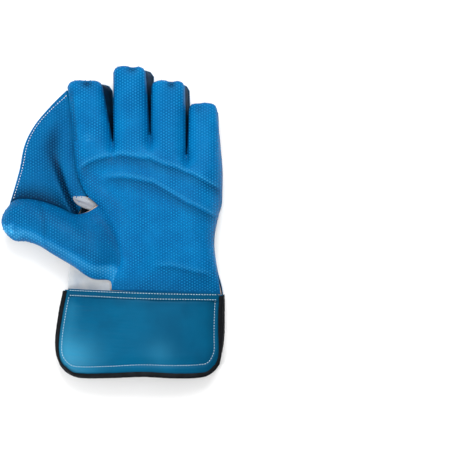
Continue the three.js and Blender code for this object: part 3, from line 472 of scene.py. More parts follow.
def make_piece(name, points, faces, materials, indices=None, shade=None):
    """A finished mesh from points in drawing millimetres."""
    mesh = bpy.data.meshes.new(name)
    mesh.from_pydata([metres(p) for p in points], [], faces)
    for material in materials:
        mesh.materials.append(MATERIALS[material])
    if indices:
        mesh.polygons.foreach_set("material_index", indices)
    if shade:
        set_values(mesh, "shade", [max(0, v) for v in shade])
        set_values(mesh, "pale_and_highlight", [max(0, -v) for v in shade])
    mesh.polygons.foreach_set("use_smooth", [True] * len(mesh.polygons))
    mesh.update()
    return put_in_scene(name, mesh)


# A wall's rim: how far through the wall its points lie, and its bulge in shares of the wall
RIM_TURNS = (0.2, 0.5, 0.8)
RIM_BULGE = 0.32


def sides(face):
    """A face's edges as pairs of point numbers."""
    return zip(face, (*face[1:], face[0]))


def thicken(points, quads, wall, edge_index=0, inner_index=0, shade=None, lip=0.0):
    """Gives an open patch its wall: outer face, inner face and a rim along each open edge.

    The rim is round; a lip lets its lower half stand out.
    """
    normals = [Vector() for _ in points]
    points = [Vector(p) for p in points]
    for quad in quads:
        middle = sum((points[i] for i in quad), Vector()) / len(quad)
        n = Vector()
        for a, b in sides(quad):
            n += (points[a] - middle).cross(points[b] - middle)
        for i in quad:
            normals[i] += n
    for n in normals:
        n.normalize()
    inner = [p - n * wall for p, n in zip(points, normals)]
    count = len(points)
    faces = [tuple(q) for q in quads]
    faces += [tuple(count + i for i in reversed(q)) for q in quads]
    indices = [0] * len(quads) + [inner_index] * len(quads)
    edges = dict.fromkeys(side for q in quads for side in sides(q))
    open_edges = [(p, q) for p, q in edges if (q, p) not in edges]
    out = {}
    for p, q in open_edges:
        side = (points[q] - points[p]).cross(normals[p] + normals[q])
        for i in (p, q):
            out[i] = out.get(i, Vector()) + side
    verts = points + inner
    shades = None if shade is None else list(shade) + list(shade)
    rims = {}
    for i, side in out.items():
        side = side.normalized()
        rim = []
        for turn in RIM_TURNS:
            push = wall * RIM_BULGE * math.sin(math.pi * turn) + lip * turn
            rim.append(len(verts))
            verts.append(points[i] - normals[i] * wall * turn + side * push)
            if shades is not None:
                shades.append(0.0)
        rims[i] = [i, *rim, count + i]
    for p, q in open_edges:
        for k in range(len(RIM_TURNS) + 1):
            faces.append((rims[q][k], rims[p][k], rims[p][k + 1], rims[q][k + 1]))
            indices.append(edge_index)
    return verts, faces, indices, shades


def over(value, s_cells, t_cells):
    """A function of s and t at each point of a grid, row by row."""
    return [value(i / s_cells, j / t_cells) for j in range(t_cells + 1) for i in range(s_cells + 1)]


def grid(surface, s_cells, t_cells, up):
    """Points and quads of a surface of s and t; up says that its outer side looks up."""
    quads = []
    for j in range(t_cells):
        for i in range(s_cells):
            a = j * (s_cells + 1) + i
            quad = (a, a + 1, a + s_cells + 2, a + s_cells + 1)
            quads.append(quad if up else quad[::-1])
    return over(surface, s_cells, t_cells), quads


def between(row, after):
    """Quads between two rows of point numbers."""
    return [(row[k], row[k + 1], after[k + 1], after[k]) for k in range(len(row) - 1)]


def finish_piece(piece, slot_name, *nodes, fill_share=None):
    """Rides the piece on the glove and hides the solids that it stands for."""
    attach(piece, "root")
    if nodes:
        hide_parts(*nodes)


def walled(name, sheet, wall, finishes, slot_name, *nodes, fill_share=None, **options):
    """Gives a sheet of points and quads its wall and finishes it; returns the wall's points and faces."""
    verts, faces, indices, shades = thicken(*sheet, wall, **options)
    piece = make_piece(name, verts, faces, finishes, indices, shades)
    finish_piece(piece, slot_name, *nodes, fill_share=fill_share)
    return verts, faces


def wobble(x, y, z, size, seed=0.0):
    """Smooth random height from -1 to 1 whose lumps are about size mm across."""
    return noise.noise(Vector((x / size + seed, y / size - seed, z / size + 2 * seed)))


# Soft relief of each sheet: rows of height in mm, size of a lump in mm and seed
RELIEF = {
    "facing": ((0.9, 27, 3.1), (0.35, 9, 7.7)),
    "thumb_back": ((0.5, 12, 2.2),),
    "flap": ((0.7, 34, 1.3), (0.15, 9, 4.2)),
    "band": ((0.18, 6, 9.1),),
    "band_edge": ((0.5, 45, 2.4),),
    "sleeve": ((0.5, 13, 6.6), (0.25, 5, 8.8)),
    "tongue": ((0.25, 2.5, 4),),
}


def relief(kind, x, y, z=0):
    return sum(height * wobble(x, y, z, size, seed) for height, size, seed in RELIEF[kind])


def tone_spots(spots, s, t):
    """Tone of round patches: each has its place and spread across and along, and how dark it is."""
    return sum(tone * bump(s - at_s, wide) * bump(t - at_t, tall) for at_s, wide, at_t, tall, tone in spots)


# Palm facing: one sheet of palm, four fingers and thumb
palm_plan = fill(palm_left, palm_right, straight(palm_left(0), palm_right(0)), root_line(FACING_FINGERS))


# Stretches of the palm in shares of the way up: where its right edge drops to the hand's seam, where the
# thumb's mound and the heel turn into fingers, where the slits deepen and where the wrist's arch ends
SEAM_DROP = (0.3, 0.6)
MOUND_TO_FINGER = (0.62, 0.95)
HEEL_TO_FINGER = (0.7, 1)
SLIT_START = (0.84, 1)
WRIST_BLEND = (0.03, 0.2)
# Shares across the palm: the thumb's mound from the left, and where the heel rounds off to the right
MOUND_SPAN = 0.3
HEEL_FROM = 0.72


def palm_middle(t):
    return PALM_HEIGHT * read(PALM_RISE, 1, t)


def palm_swell(s, t):
    middle = palm_middle(t)
    left_height = THUMB_EDGE_HEIGHT * read(PALM_RISE, 2, t)
    right_height = mix(HEEL_HEIGHT, HAND_SEAM_HEIGHT, ease(*SEAM_DROP, t))
    mound = max(0, 1 - s / MOUND_SPAN) ** 2
    finger_side = 1 - dome(max(0, 1 - s / (SLITS[1] / 2)))
    left = mix(mound, finger_side, ease(*MOUND_TO_FINGER, t))
    right_from = mix(HEEL_FROM, (SLITS[3] + 1) / 2, ease(*HEEL_TO_FINGER, t))
    right = 1 - dome(max(0, (s - right_from) / (1 - right_from)))
    f = finger_at(s)
    q = 2 * (s - SLITS[f]) / (SLITS[f + 1] - SLITS[f]) - 1
    outside = (f == 0 and q < 0) or (f == 3 and q > 0)
    slit = 0 if outside else (1 - dome(q)) * ease(*SLIT_START, t) ** 1.5
    return (middle - (middle - left_height) * left - (middle - right_height) * right
            - (middle - FINGER_EDGE_HEIGHT) * slit)


# Fold profile: ridge and drop in mm, its steep part and its reach as shares of the palm
RIDGE = 1.5
DROP = 1.9
FOLD_EDGE = 0.02
FOLD_REACH = 0.06
# Painted shade across a fold, and below 0 a painted highlight on its ridge: how dark, how far below the
# crease and its spread, in shares of the palm
FOLD_TONES = ((0.3, 0.012, 0.014), (0.3, 0.035, 0.035), (-0.22, -0.012, 0.018))
# Where each crease starts and ends across the palm, and how strong it is
CREASE_SPANS = {1: (0.3, 0.5, 0.84, 0.97, 0.7), 2: (0.12, 0.3, 0.94, 1, 1), 3: (0, 0.08, 0.96, 1, 1)}


def fold_step(d):
    """Across a fold, by distance in shares of the palm: a ridge on the finger side, a steep drop below it."""
    size = RIDGE if d > 0 else DROP
    return size * math.tanh(d / FOLD_EDGE) * math.exp(-abs(d) / FOLD_REACH)


def palm_crease(s, t):
    """Height of the creases, the painted shade below each and the painted highlight on its ridge."""
    height = 0
    dark = 0
    for column, (start, full, fall, end, strength) in CREASE_SPANS.items():
        d = t - read(CREASES, column, s)
        fade = strength * ease(start, full, s) * (1 - ease(fall, end, s))
        height += fade * fold_step(d)
        dark += fade * sum(tone * bump(d + away, spread) for tone, away, spread in FOLD_TONES)
    return height, dark


def palm_height(s, t):
    left, right = flap_left(1)[0], flap_right(1)[0]
    x = mix(palm_left(0)[0], palm_right(0)[0], s)
    folds, dark = palm_crease(s, t)
    swell = palm_swell(s, t) + folds
    return mix(arch(2 * (x - left) / (right - left) - 1), swell, ease(*WRIST_BLEND, t)), dark


# The row of the palm that ends at the thumb's crotch, and the fine steps of each stretch between rows
CROTCH_ROW = 7
ROW_STEPS = 5


def palm_stations(s):
    """Rows of the palm that follow its creases, each stretch cut into fine steps."""
    wrist, lower, upper = (read(CREASES, c, s) for c in (1, 2, 3))
    step = GROOVE_SPREAD * 1.4
    rows = [0, wrist / 2, wrist - step, wrist, wrist + step]
    rows += [mix(wrist + step, lower - step, k / 4) for k in (1, 2, 3)]
    rows += [lower - step, lower, lower + step, (lower + upper) / 2, upper - step, upper, upper + step]
    rows += [(upper + step + 1) / 2, 1]
    rows[CROTCH_ROW] = mix(CROTCH, rows[CROTCH_ROW], min(1, s / (SLITS[1] / 6)))
    fine = [mix(rows[j], rows[j + 1], k / ROW_STEPS) for j in range(len(rows) - 1) for k in range(ROW_STEPS)]
    return fine + [1]


EDGE_STATIONS = palm_stations(0)
CROTCH_STEP = CROTCH_ROW * ROW_STEPS


def thumb_place(row):
    return palm_left(CROTCH)[0] - row[0] * THUMB_REACH, THUMB_AXIS * PALM_LENGTH + row[1] * THUMB_WIDTH


def smooth_path(points, samples=400):
    """A centripetal Catmull-Rom curve through the points, read by its share of length."""
    chain = [Vector(p) for p in points]
    chain = [2 * chain[0] - chain[1], *chain, 2 * chain[-1] - chain[-2]]
    dense = []
    for i in range(1, len(chain) - 2):
        p0, p1, p2, p3 = chain[i - 1:i + 3]
        t0 = 0
        t1 = t0 + math.sqrt((p1 - p0).length)
        t2 = t1 + math.sqrt((p2 - p1).length)
        t3 = t2 + math.sqrt((p3 - p2).length)
        steps = samples // (len(chain) - 3)
        for k in range(steps):
            t = mix(t1, t2, k / steps)
            a1 = p0 * ((t1 - t) / (t1 - t0)) + p1 * ((t - t0) / (t1 - t0))
            a2 = p1 * ((t2 - t) / (t2 - t1)) + p2 * ((t - t1) / (t2 - t1))
            a3 = p2 * ((t3 - t) / (t3 - t2)) + p3 * ((t - t2) / (t3 - t2))
            b1 = a1 * ((t2 - t) / (t2 - t0)) + a2 * ((t - t0) / (t2 - t0))
            b2 = a2 * ((t3 - t) / (t3 - t1)) + a3 * ((t - t1) / (t3 - t1))
            dense.append(b1 * ((t2 - t) / (t2 - t1)) + b2 * ((t - t1) / (t2 - t1)))
    dense.append(chain[-2])
    lengths = [0]
    for a, b in zip(dense, dense[1:]):
        lengths.append(lengths[-1] + (b - a).length)

    @lru_cache(maxsize=None)
    def at(u):
        goal = clamp(u, 0, 1) * lengths[-1]
        lo, hi = 0, len(lengths) - 1
        while hi - lo > 1:
            middle = (lo + hi) // 2
            if lengths[middle] <= goal:
                lo = middle
            else:
                hi = middle
        k = (goal - lengths[lo]) / max(1e-9, lengths[hi] - lengths[lo])
        return tuple(dense[lo].lerp(dense[hi], k))
    return at


thumb_upper = smooth_path([palm_left(CROTCH), *map(thumb_place, THUMB_UPPER)])
thumb_lower = smooth_path([palm_left(0), *map(thumb_place, THUMB_LOWER)])


# Shares of the thumb's length: how far its tip bulges, where the tip rounds off and where the root ends
THUMB_TIP_BULGE = 0.035
THUMB_TIP_FROM = 0.8
THUMB_ROOT_END = 0.22


def thumb_tip(v):
    a, b = thumb_lower(1), thumb_upper(1)
    return mix(a[0], b[0], v) - THUMB_TIP_BULGE * THUMB_REACH * math.sin(math.pi * v), mix(a[1], b[1], v)


def thumb_root(v):
    k = v * CROTCH_STEP
    i = min(CROTCH_STEP - 1, int(k))
    return mix(EDGE_STATIONS[i], EDGE_STATIONS[i + 1], k - i)


thumb_plan = fill(thumb_lower, thumb_upper, lambda v: palm_left(thumb_root(v)), thumb_tip)


def thumb_height(v, u):
    crown, lower, upper = (read(THUMB_SADDLE, c, u) for c in (1, 2, 3))
    edge = THUMB_EDGE_HEIGHT * mix(lower, upper, v)
    tip = math.sqrt(max(0, 1 - max(0, (u - THUMB_TIP_FROM) / (1 - THUMB_TIP_FROM)) ** 2))
    body = edge + (THUMB_HEIGHT * crown - edge) * dome(2 * v - 1) * tip
    return mix(palm_height(0, thumb_root(v))[0], body, ease(0, THUMB_ROOT_END, u))


def finger_height(finger, sigma, v):
    crown = mix(palm_middle(1), FINGER_HEIGHT, v)
    outer = finger[0] == "little" and sigma > 0.5
    edge = mix(HAND_SEAM_HEIGHT, FINGER_EDGE_HEIGHT, ease(0, 0.75, v)) if outer else FINGER_EDGE_HEIGHT
    return edge + (crown - edge) * dome(2 * sigma - 1)


# The palm stands above the thumb along the seam at the thumb's root: rise, sink, steepness and reach in mm
MOUND_RISE = 2.0
MOUND_SINK = 3.4
MOUND_EDGE = 3.0
MOUND_REACH = 15
# Where that seam's fold begins and stops, in shares of the palm's length
MOUND_START = (0.06, 0.2)
MOUND_STOP = (0.5, 0.58)


def mound_fold(distance, t, size):
    """Height along the fold round the thumb's root, by distance from it in mm."""
    window = ease(*MOUND_START, t) * (1 - ease(*MOUND_STOP, t))
    return size * window * (1 - math.exp(-distance / MOUND_EDGE)) * math.exp(-distance / MOUND_REACH)


# The padding lies flat over this share next to a sewn edge
SEWN_CALM = 0.12


def rubbed(x, y, s_edge):
    """Soft lumps of padding under the facing, calm near its sewn edges."""
    return ease(0, SEWN_CALM, s_edge) * relief("facing", x, y)


# Each fingertip is gathered by a dart: its place across, its spread, its notch and pinch in mm, how dark its
# painted shadow is
TIP_DARTS = [
    (0.56, 0.15, 0.7, 2.6, 0.9),
    (0.6, 0.16, 1.8, 2.8, 0.75),
    (0.6, 0.12, 2.6, 3.2, 0.9),
    (0.35, 0.12, 0.5, 1.0, 0.25),
]
# The dart's pinch and its shadow: distance from the tip and spread, in mm
PINCH = (4, 4.5)
DART_SHADOW = (5, 4)
# The valley beside the index finger's edge: depth in mm, place and spread across, where it ends, how dark its
# painted shade is
INDEX_VALLEY = 1.5
VALLEY_PLACE = 0.1
VALLEY_SPREAD = 0.045
VALLEY_END = (0.75, 0.95)
VALLEY_TONE = 0.5
# Bare lip of backing cloth at the facing's cut edge, in mm
CLOTH_LIP = 0.7
# The palm's foot lies in the band's shadow: how dark, and over which share of its length
CUFF_SHADOW = 0.35
CUFF_SHADOW_SPAN = (0.02, 0.15)
# A paler patchy spot at the index finger's root: x, y and reach in mm, how pale, then patch size, seed and
# share
ROOT_PALE_SPOT = (-62, 160, 5)
ROOT_PALE_TONE = 1.2
ROOT_PALE_PATCH = (1.6, 5.1)
ROOT_PALE_SHARE = 0.2
# Tones of the thumb, all painted: shade over its whole length, shade in the fold at its root, a highlight
# band along its lower edge and shade in the fold over its joint
THUMB_DARK = 0.24
THUMB_DARK_FROM = 0.3
THUMB_FOLD_TONE = 0.55
THUMB_LIGHT = (0.22, 0.16, 0.5)
JOINT_PLACE = 0.62
JOINT_SPREAD = 0.03
JOINT_DEPTH = 0.8
JOINT_TONE = (0.02, 0.2)
# A paler patchy spot at the thumb's tip: place and spread along and across, how pale, then patch size, seed
# and share
TIP_PALE_SPOT = (0.95, 0.12, 0.3, 0.3, 1.1)
TIP_PALE_PATCH = (4, 1.9)
TIP_PALE_SHARE = 0.35
FINGER_CELLS = 16
FINGER_STEPS = 30
TIP_STEPS = 9
THUMB_STEPS = 54
# The thumb's rows crowd towards its tip by this power
THUMB_CROWDING = 1.25


def finger_point(f, sigma, v, turn):
    """A point of a finger's facing and how dark it is; turn runs to a right angle round the tip."""
    finger = FACING_FINGERS[f]
    at, spread, notch, pinched, darkness = TIP_DARTS[f]
    x, y = finger_spot(finger, sigma, v, 0)
    z = mix(FINGER_EDGE_HEIGHT, finger_height(finger, sigma, v), math.cos(turn))
    middle = bump(sigma - at, spread)
    near_tip = finger[1] * (1 - v)
    dart = notch * middle * math.sin(turn) ** 2
    pinch = pinched * middle * bump(near_tip - PINCH[0], PINCH[1])
    valley = bump(sigma - VALLEY_PLACE, VALLEY_SPREAD) * (1 - ease(*VALLEY_END, v)) if f == 0 else 0
    soft = rubbed(x, y, min(sigma, 1 - sigma, 1 - v))
    # Painted shadow below the dart and painted shade in the valley; the root's paler spot lightens it
    dark = darkness * middle * bump(near_tip - DART_SHADOW[0], DART_SHADOW[1]) + VALLEY_TONE * valley
    paler_patch = bump(math.hypot(x - ROOT_PALE_SPOT[0], y - ROOT_PALE_SPOT[1]), ROOT_PALE_SPOT[2])
    dark -= ROOT_PALE_TONE * paler_patch * max(0, wobble(x, y, 0, *ROOT_PALE_PATCH) + ROOT_PALE_SHARE)
    return x, y - dart, z + lift_at(y) + soft - pinch - INDEX_VALLEY * valley, dark


def thumb_point(v, u):
    """A point of the thumb's facing and how dark it is: v across and u along."""
    x, y = thumb_plan(v, u)
    fold = mound_fold(u * THUMB_REACH, thumb_root(v), MOUND_SINK)
    joint = JOINT_DEPTH * bump(u - JOINT_PLACE, JOINT_SPREAD) * dome(2 * v - 1) ** 2
    soft = rubbed(x, y, min(v, 1 - v, 1 - u, u))
    # Painted shade in the root and joint folds and along the thumb, a painted highlight band on its lower
    # edge and a paler spot at the tip
    tip_pale = tone_spots([TIP_PALE_SPOT], u, v) * max(0, wobble(x, y, 0, *TIP_PALE_PATCH) + TIP_PALE_SHARE)
    dark = THUMB_FOLD_TONE * fold / MOUND_SINK + JOINT_TONE[1] * bump(u - JOINT_PLACE, JOINT_TONE[0]) - tip_pale
    dark += THUMB_DARK * ease(0, THUMB_DARK_FROM, u)
    dark -= THUMB_LIGHT[2] * bump(v - THUMB_LIGHT[0], THUMB_LIGHT[1])
    return x, y, thumb_height(v, u) + soft - fold - joint, dark


def palm_patch():
    points, quads, shade = [], [], []

    def put(x, y, z, dark):
        points.append((x, y, z))
        shade.append(clamp(dark, -1, 1))
        return len(points) - 1

    columns = 4 * FINGER_CELLS
    palm = []
    for i in range(columns + 1):
        f = min(3, i // FINGER_CELLS)
        s = mix(SLITS[f], SLITS[f + 1], i / FINGER_CELLS - f)
        column = []
        for t in palm_stations(s):
            x, y = palm_plan(s, t)
            z, dark = palm_height(s, t)
            fold = mound_fold(s * PALM_WIDTH, t, MOUND_RISE)
            soft = rubbed(x, y, min(s, 1 - s, t))
            under_cuff = CUFF_SHADOW * (1 - ease(*CUFF_SHADOW_SPAN, t))
            column.append(put(x, y, z + lift_at(y) + soft + fold, dark + under_cuff))
        palm.append(column)
    last = len(palm[0]) - 1
    for i in range(columns):
        for j in range(last):
            quads.append((palm[i][j], palm[i + 1][j], palm[i + 1][j + 1], palm[i][j + 1]))
    for f, finger in enumerate(FACING_FINGERS):
        lower_row = [palm[f * FINGER_CELLS + c][last] for c in range(FINGER_CELLS + 1)]
        round_share = FINGERTIP_ROUND / finger[1]
        for r in range(1, FINGER_STEPS + TIP_STEPS + 1):
            turn = max(0, r - FINGER_STEPS) / TIP_STEPS * math.pi / 2
            v = 1 - round_share * (1 - math.sin(turn))
            if r <= FINGER_STEPS:
                v = (1 - round_share) * r / FINGER_STEPS
            row = [put(*finger_point(f, c / FINGER_CELLS, v, turn)) for c in range(FINGER_CELLS + 1)]
            quads += between(lower_row, row)
            lower_row = row
    inner_row = palm[0][:CROTCH_STEP + 1]
    for n in range(1, THUMB_STEPS + 1):
        u = 1 - (1 - n / THUMB_STEPS) ** THUMB_CROWDING
        row = [put(*thumb_point(j / CROTCH_STEP, u)) for j in range(CROTCH_STEP + 1)]
        quads += between(inner_row, row)
        inner_row = row
    return points, quads, shade


palm_points, palm_quads, palm_shade = palm_patch()
walled("palm_facing_leather", (palm_points, palm_quads), FACING_WALL, ["moulded_rubber", "backing_cloth"],
       "pimpled_rubber", "palm_facing", fill_share=0.6,
       edge_index=1, inner_index=1, shade=palm_shade, lip=CLOTH_LIP)


# The web between index finger and thumb
# Its inner edge starts at this share of the palm's side, turns onto the finger at this share of its own
# length, and ends at this share of the finger; its foot turns onto the thumb
WEB_ROOT = 0.66
WEB_TURN = 0.35
WEB_END = 0.8
WEB_FOOT_TURN = 0.15
# The part of the thumb's upper edge that the web's foot follows
WEB_ON_THUMB = (0.24, 0.93)


def web_inner(t):
    k = max(0, (t - WEB_TURN) / (1 - WEB_TURN))
    beside = finger_spot(FACING_FINGERS[0], 0, WEB_END * k, 0)
    x, y = beside if k > 0 else palm_left(mix(WEB_ROOT, 1, t / WEB_TURN))
    return x + SIDE_INSET * (0.3 - 1.2 * k * k), y


def web_foot(s):
    def along(k):
        return thumb_upper(mix(*WEB_ON_THUMB, k))
    if s < WEB_FOOT_TURN:
        return straight(web_inner(0), along(0))(s / WEB_FOOT_TURN)
    x, y = along((s - WEB_FOOT_TURN) / (1 - WEB_FOOT_TURN))
    return x, y - 0.5 * SIDE_INSET


web_rows = [(t, -0.5 * PALM_WIDTH - x * WEB_REACH, y * PALM_LENGTH) for t, x, y in WEB_OUTER]
web_rows[0] = (0, *web_foot(1))
web_outer = curve(web_rows, lambda x, y: (x, y))
web_plan = fill(web_inner, web_outer, web_foot, straight(web_inner(1), web_outer(1)))


def web_height(s, t):
    y = web_plan(s, t)[1]
    root = mix(WEB_ROOT_HEIGHT, WEB_EDGE_HEIGHT, ease(0, 0.55, t))
    cup = WEB_CUP * math.sin(math.pi * s) * (1 - t)
    return mix(root, WEB_EDGE_HEIGHT, ease(0, 1, s ** 0.8)) - cup + lift_at(y)


# The deep fold of the web runs from the crotch up and left, and fades out
FOLD_START = (0.16, 0.02)
FOLD_END = (0.46, 0.36)
FOLD_DEPTH = 7
FOLD_WIDTH = 0.04
FOLD_BEND = 1.3
FOLD_WIDENING = 1.6
FOLD_FADE = (0.3, 1.05)
# The roll beside the palm: height in mm, place across at the crotch, its slant, its spread and where it ends
ROLL_HEIGHT = 3.5
ROLL_PLACE = 0.09
ROLL_SLANT = 0.3
ROLL_SPREAD = 0.12
ROLL_END = (0.4, 0.8)
# The folds that fan out: height in mm, turns to a radian and shift, which grows across for the fine ones
FAN_BROAD = (1.0, 9, 0.6)
FAN_FINE = (0.4, 21, 1.5)
# Painted shade of the web: everywhere, in the deep fold, in its hollow, and the thumb's painted shadow above
# the thumb
WEB_TONE = 0.22
WEB_FOLD_TONE = 1.5
WEB_HOLLOW = (0.45, 0.16, 0.42, 0.2, 0.6)
WEB_FOOT_TONE = (0.08, 0.75)
# How deep the web is cupped at its foot, in mm
WEB_CUP = 3.5


def web_valley(s, t):
    """Share of the deep fold at a place of the web."""
    k = (t - FOLD_START[1]) / (FOLD_END[1] - FOLD_START[1])
    middle = mix(FOLD_START[0], FOLD_END[0], clamp(k, 0, 1.4) ** FOLD_BEND)
    fade = 1 - ease(*FOLD_FADE, k)
    return fade * bump(s - middle, FOLD_WIDTH * (1 + FOLD_WIDENING * max(0, k)))


def web_folds(s, t):
    """Soft folds that fan out from the thumb's crotch, and the roll beside the palm."""
    fan = math.atan2(t + 0.25, s + 0.12)
    calm = math.sin(math.pi * s) * math.sin(math.pi * min(1, t + 0.1))
    roll = ROLL_HEIGHT * bump(s - ROLL_PLACE - ROLL_SLANT * t, ROLL_SPREAD) * (1 - ease(*ROLL_END, t))
    wave = FAN_BROAD[0] * math.sin(FAN_BROAD[1] * fan + FAN_BROAD[2])
    wave += FAN_FINE[0] * math.sin(FAN_FINE[1] * fan + FAN_FINE[2] * s)
    return calm * wave + roll - FOLD_DEPTH * web_valley(s, t)


def web_shade(s, t):
    """Painted shade of the web: all over it, in its fold, in its hollow and the thumb's painted shadow above
    the thumb.
    """
    hollow = tone_spots([WEB_HOLLOW], s, t)
    above_thumb = WEB_FOOT_TONE[1] * bump(t, WEB_FOOT_TONE[0]) * ease(0.1, 0.4, s)
    return clamp(WEB_TONE + WEB_FOLD_TONE * web_valley(s, t) + hollow + above_thumb, 0, 1)


def web_point(s, t):
    x, y = web_plan(s, t)
    return x, y, web_height(s, t) + web_folds(s, t)


def web_under(s, t):
    x, y, z = web_point(s, t)
    return x, y, z - (WEB_WALL + GAP + BACK_WALL + 0.5 * WEB_ROOT_HEIGHT * (1 - s) ** 3 * ease(0, 0.3, t))


def rim_share(t, distance):
    """A distance in mm from the web's outer rim, as a share of its width at t."""
    a, b = web_inner(t), web_outer(t)
    return distance / math.hypot(b[0] - a[0], b[1] - a[1])


WEB_CELLS = 60
WEB_STEPS = 72
web_points, web_quads = grid(web_point, WEB_CELLS, WEB_STEPS, False)
web_shades = over(web_shade, WEB_CELLS, WEB_STEPS)
walled("web_facing_rubber", (web_points, web_quads), WEB_WALL, ["moulded_rubber", "backing_cloth"],
       "pimpled_rubber", "web_facing", inner_index=1, shade=web_shades)
web_back = walled("web_back_leather", grid(web_under, 36, 50, True), BACK_WALL, ["pebbled_leather"],
                  "back_leather", "web_back")
WEB_BED = BVHTree.FromPolygons(*web_back)


# Finger sidewalls
# How far they puff out in mm, and their random folds: height and size in mm
SIDE_PUFF = 0.35
SIDE_CRUMPLE = (0.5, 7)
SIDE_CREASE = (0.25, 3.2)
# A back finger's tip lies this much short of its facing's
BACK_TRIM = 2


def back_finger_height(sigma, v):
    return mix(EDGE_RISE, FINGER_CURL, ease(0, 0.2, v)) * abs(2 * sigma - 1) ** 3


def side_path(f):
    """Round a finger from one slit to the other: sigma across and v along."""
    end = 0.5 if f == 3 else 0.05
    path = [(0, mix(0.04, 0.9, k / 40)) for k in range(41)]
    for k in range(1, 8):
        path.append((0, mix(0.9, 1, k / 8)))
    path += [(k / 30, 1) for k in range(31)]
    for k in range(7, 0, -1):
        path.append((1, mix(0.9, 1, k / 8)))
    return path + [(1, mix(0.9, end, k / 40)) for k in range(41)]


def sidewall(f):
    path = side_path(f)
    facing, back = FACING_FINGERS[f], BACK_FINGERS[f]

    def surface(s, t):
        sigma, v = path[round(s * (len(path) - 1))]
        tx, ty = finger_spot(facing, sigma, v, SIDE_INSET)
        bx, by = finger_spot(back, sigma, v, SIDE_INSET, BACK_TRIM)
        edge = FINGER_EDGE_HEIGHT if v == 1 else finger_height(facing, sigma, v)
        top = edge - 0.95 * FACING_WALL - GAP + lift_at(ty)
        bottom = back_finger_height(sigma, v) + BACK_WALL + GAP + lift_at(by)
        x, y, z = mix(bx, tx, t), mix(by, ty, t), mix(bottom, top, t)
        crumple = SIDE_CRUMPLE[0] * wobble(x, y, 0, SIDE_CRUMPLE[1], f)
        crumple += SIDE_CREASE[0] * wobble(x, y, z, SIDE_CREASE[1], f + 5)
        away = Vector((sigma - 0.5, 0.9 * (v == 1), 0))
        away.normalize()
        push = math.sin(math.pi * t) * (SIDE_PUFF + crumple)
        return x + away.x * push, y + away.y * push, z

    walled(f"{facing[0]}_side_goatskin", grid(surface, len(path) - 1, 10, False), SIDE_WALL,
           ["dyed_goatskin"], "side_leather", f"{facing[0]}_sidewall")


for number in range(4):
    sidewall(number)


# Back panel
# It rises to its seams past this share from the middle, and to the mouth's hem over this share of its length
BACK_SIDE_FROM = 0.87
BACK_MOUTH = 0.07
BACK_CELLS = 12
BACK_STEPS = 70
BACK_FINGER_STEPS = 24
back_bottom = curve(BACK_BOTTOM, cuff_spot)
back_plan = fill(back_left, back_right, back_bottom, root_line(BACK_FINGERS))


def back_rise(s, t):
    side = max(0, (abs(2 * s - 1) - BACK_SIDE_FROM) / (1 - BACK_SIDE_FROM))
    mouth = max(0, 1 - t / BACK_MOUTH)
    return EDGE_RISE * max(side, mouth)


def back_surface(s, t):
    x, y = back_plan(s, t)
    return x, y, back_rise(s, t) + lift_at(y) + BACK_CLEAR


def back_patch():
    points, quads = [], []
    columns = 4 * BACK_CELLS
    grid_rows = []
    for i in range(columns + 1):
        f = min(3, i // BACK_CELLS)
        s = mix(SLITS[f], SLITS[f + 1], i / BACK_CELLS - f)
        column = []
        for j in range(BACK_STEPS + 1):
            points.append(back_surface(s, j / BACK_STEPS))
            column.append(len(points) - 1)
        grid_rows.append(column)
    for i in range(columns):
        for j in range(BACK_STEPS):
            a, b = grid_rows[i], grid_rows[i + 1]
            quads.append((a[j + 1], b[j + 1], b[j], a[j]))
    for f, finger in enumerate(BACK_FINGERS):
        lower_row = [grid_rows[f * BACK_CELLS + c][-1] for c in range(BACK_CELLS + 1)]
        for r in range(1, BACK_FINGER_STEPS + 1):
            row = []
            for c in range(BACK_CELLS + 1):
                sigma, v = c / BACK_CELLS, r / BACK_FINGER_STEPS
                x, y = finger_spot(finger, sigma, v, 0, BACK_TRIM)
                points.append((x, y, back_finger_height(sigma, v) + lift_at(y) + BACK_CLEAR))
                row.append(len(points) - 1)
            quads += between(row, lower_row)
            lower_row = row
    return points, quads


back_sheet = back_patch()
BACK_BED = BVHTree.FromPolygons(*back_sheet)
walled("back_panel_leather", back_sheet, BACK_WALL - BACK_CLEAR, ["pebbled_leather", "dyed_goatskin"],
       "back_leather", "back_panel", inner_index=1)


# Thumb back
# It lies this far inside the thumb's facing in mm; shares of its length say where its underside curves up
# and where its tip rounds off
THUMB_INSET = 2.6
THUMB_BACK_RISE = (0.1, 0.5)
THUMB_BACK_TIP = 0.75


def thumb_back_surface():
    def lower(u):
        x, y = thumb_lower(mix(0.4, 1, u))
        return x + THUMB_INSET * u, y + THUMB_INSET

    def upper(u):
        x, y = thumb_upper(mix(0.2, 1, u))
        return x + THUMB_INSET * u, y - THUMB_INSET

    def tip(v):
        x, y = thumb_tip(v)
        return x + THUMB_INSET, mix(y, THUMB_AXIS * PALM_LENGTH, 0.12)

    plan = fill(lower, upper, straight(lower(0), upper(0)), tip)
    seat = EDGE_RISE + BACK_WALL + GAP
    rim = 0.94 * THUMB_EDGE_HEIGHT - BACK_WALL - 2 * GAP

    def surface(v, u):
        x, y = plan(v, u)
        edge = mix(seat, rim, ease(*THUMB_BACK_RISE, u))
        belly = mix(seat, THUMB_BELLY, ease(*THUMB_BACK_RISE, u))
        tip_share = max(0, (u - THUMB_BACK_TIP) / (1 - THUMB_BACK_TIP))
        z = edge - (edge - belly) * dome(2 * v - 1) * math.sqrt(1 - tip_share ** 2)
        return x, y, z + relief("thumb_back", x, y) * math.sin(math.pi * v) * math.sin(math.pi * u)
    return surface


walled("thumb_back_leather", grid(thumb_back_surface(), 28, 40, False), BACK_WALL, ["pebbled_leather"],
       "back_leather", "thumb_back")


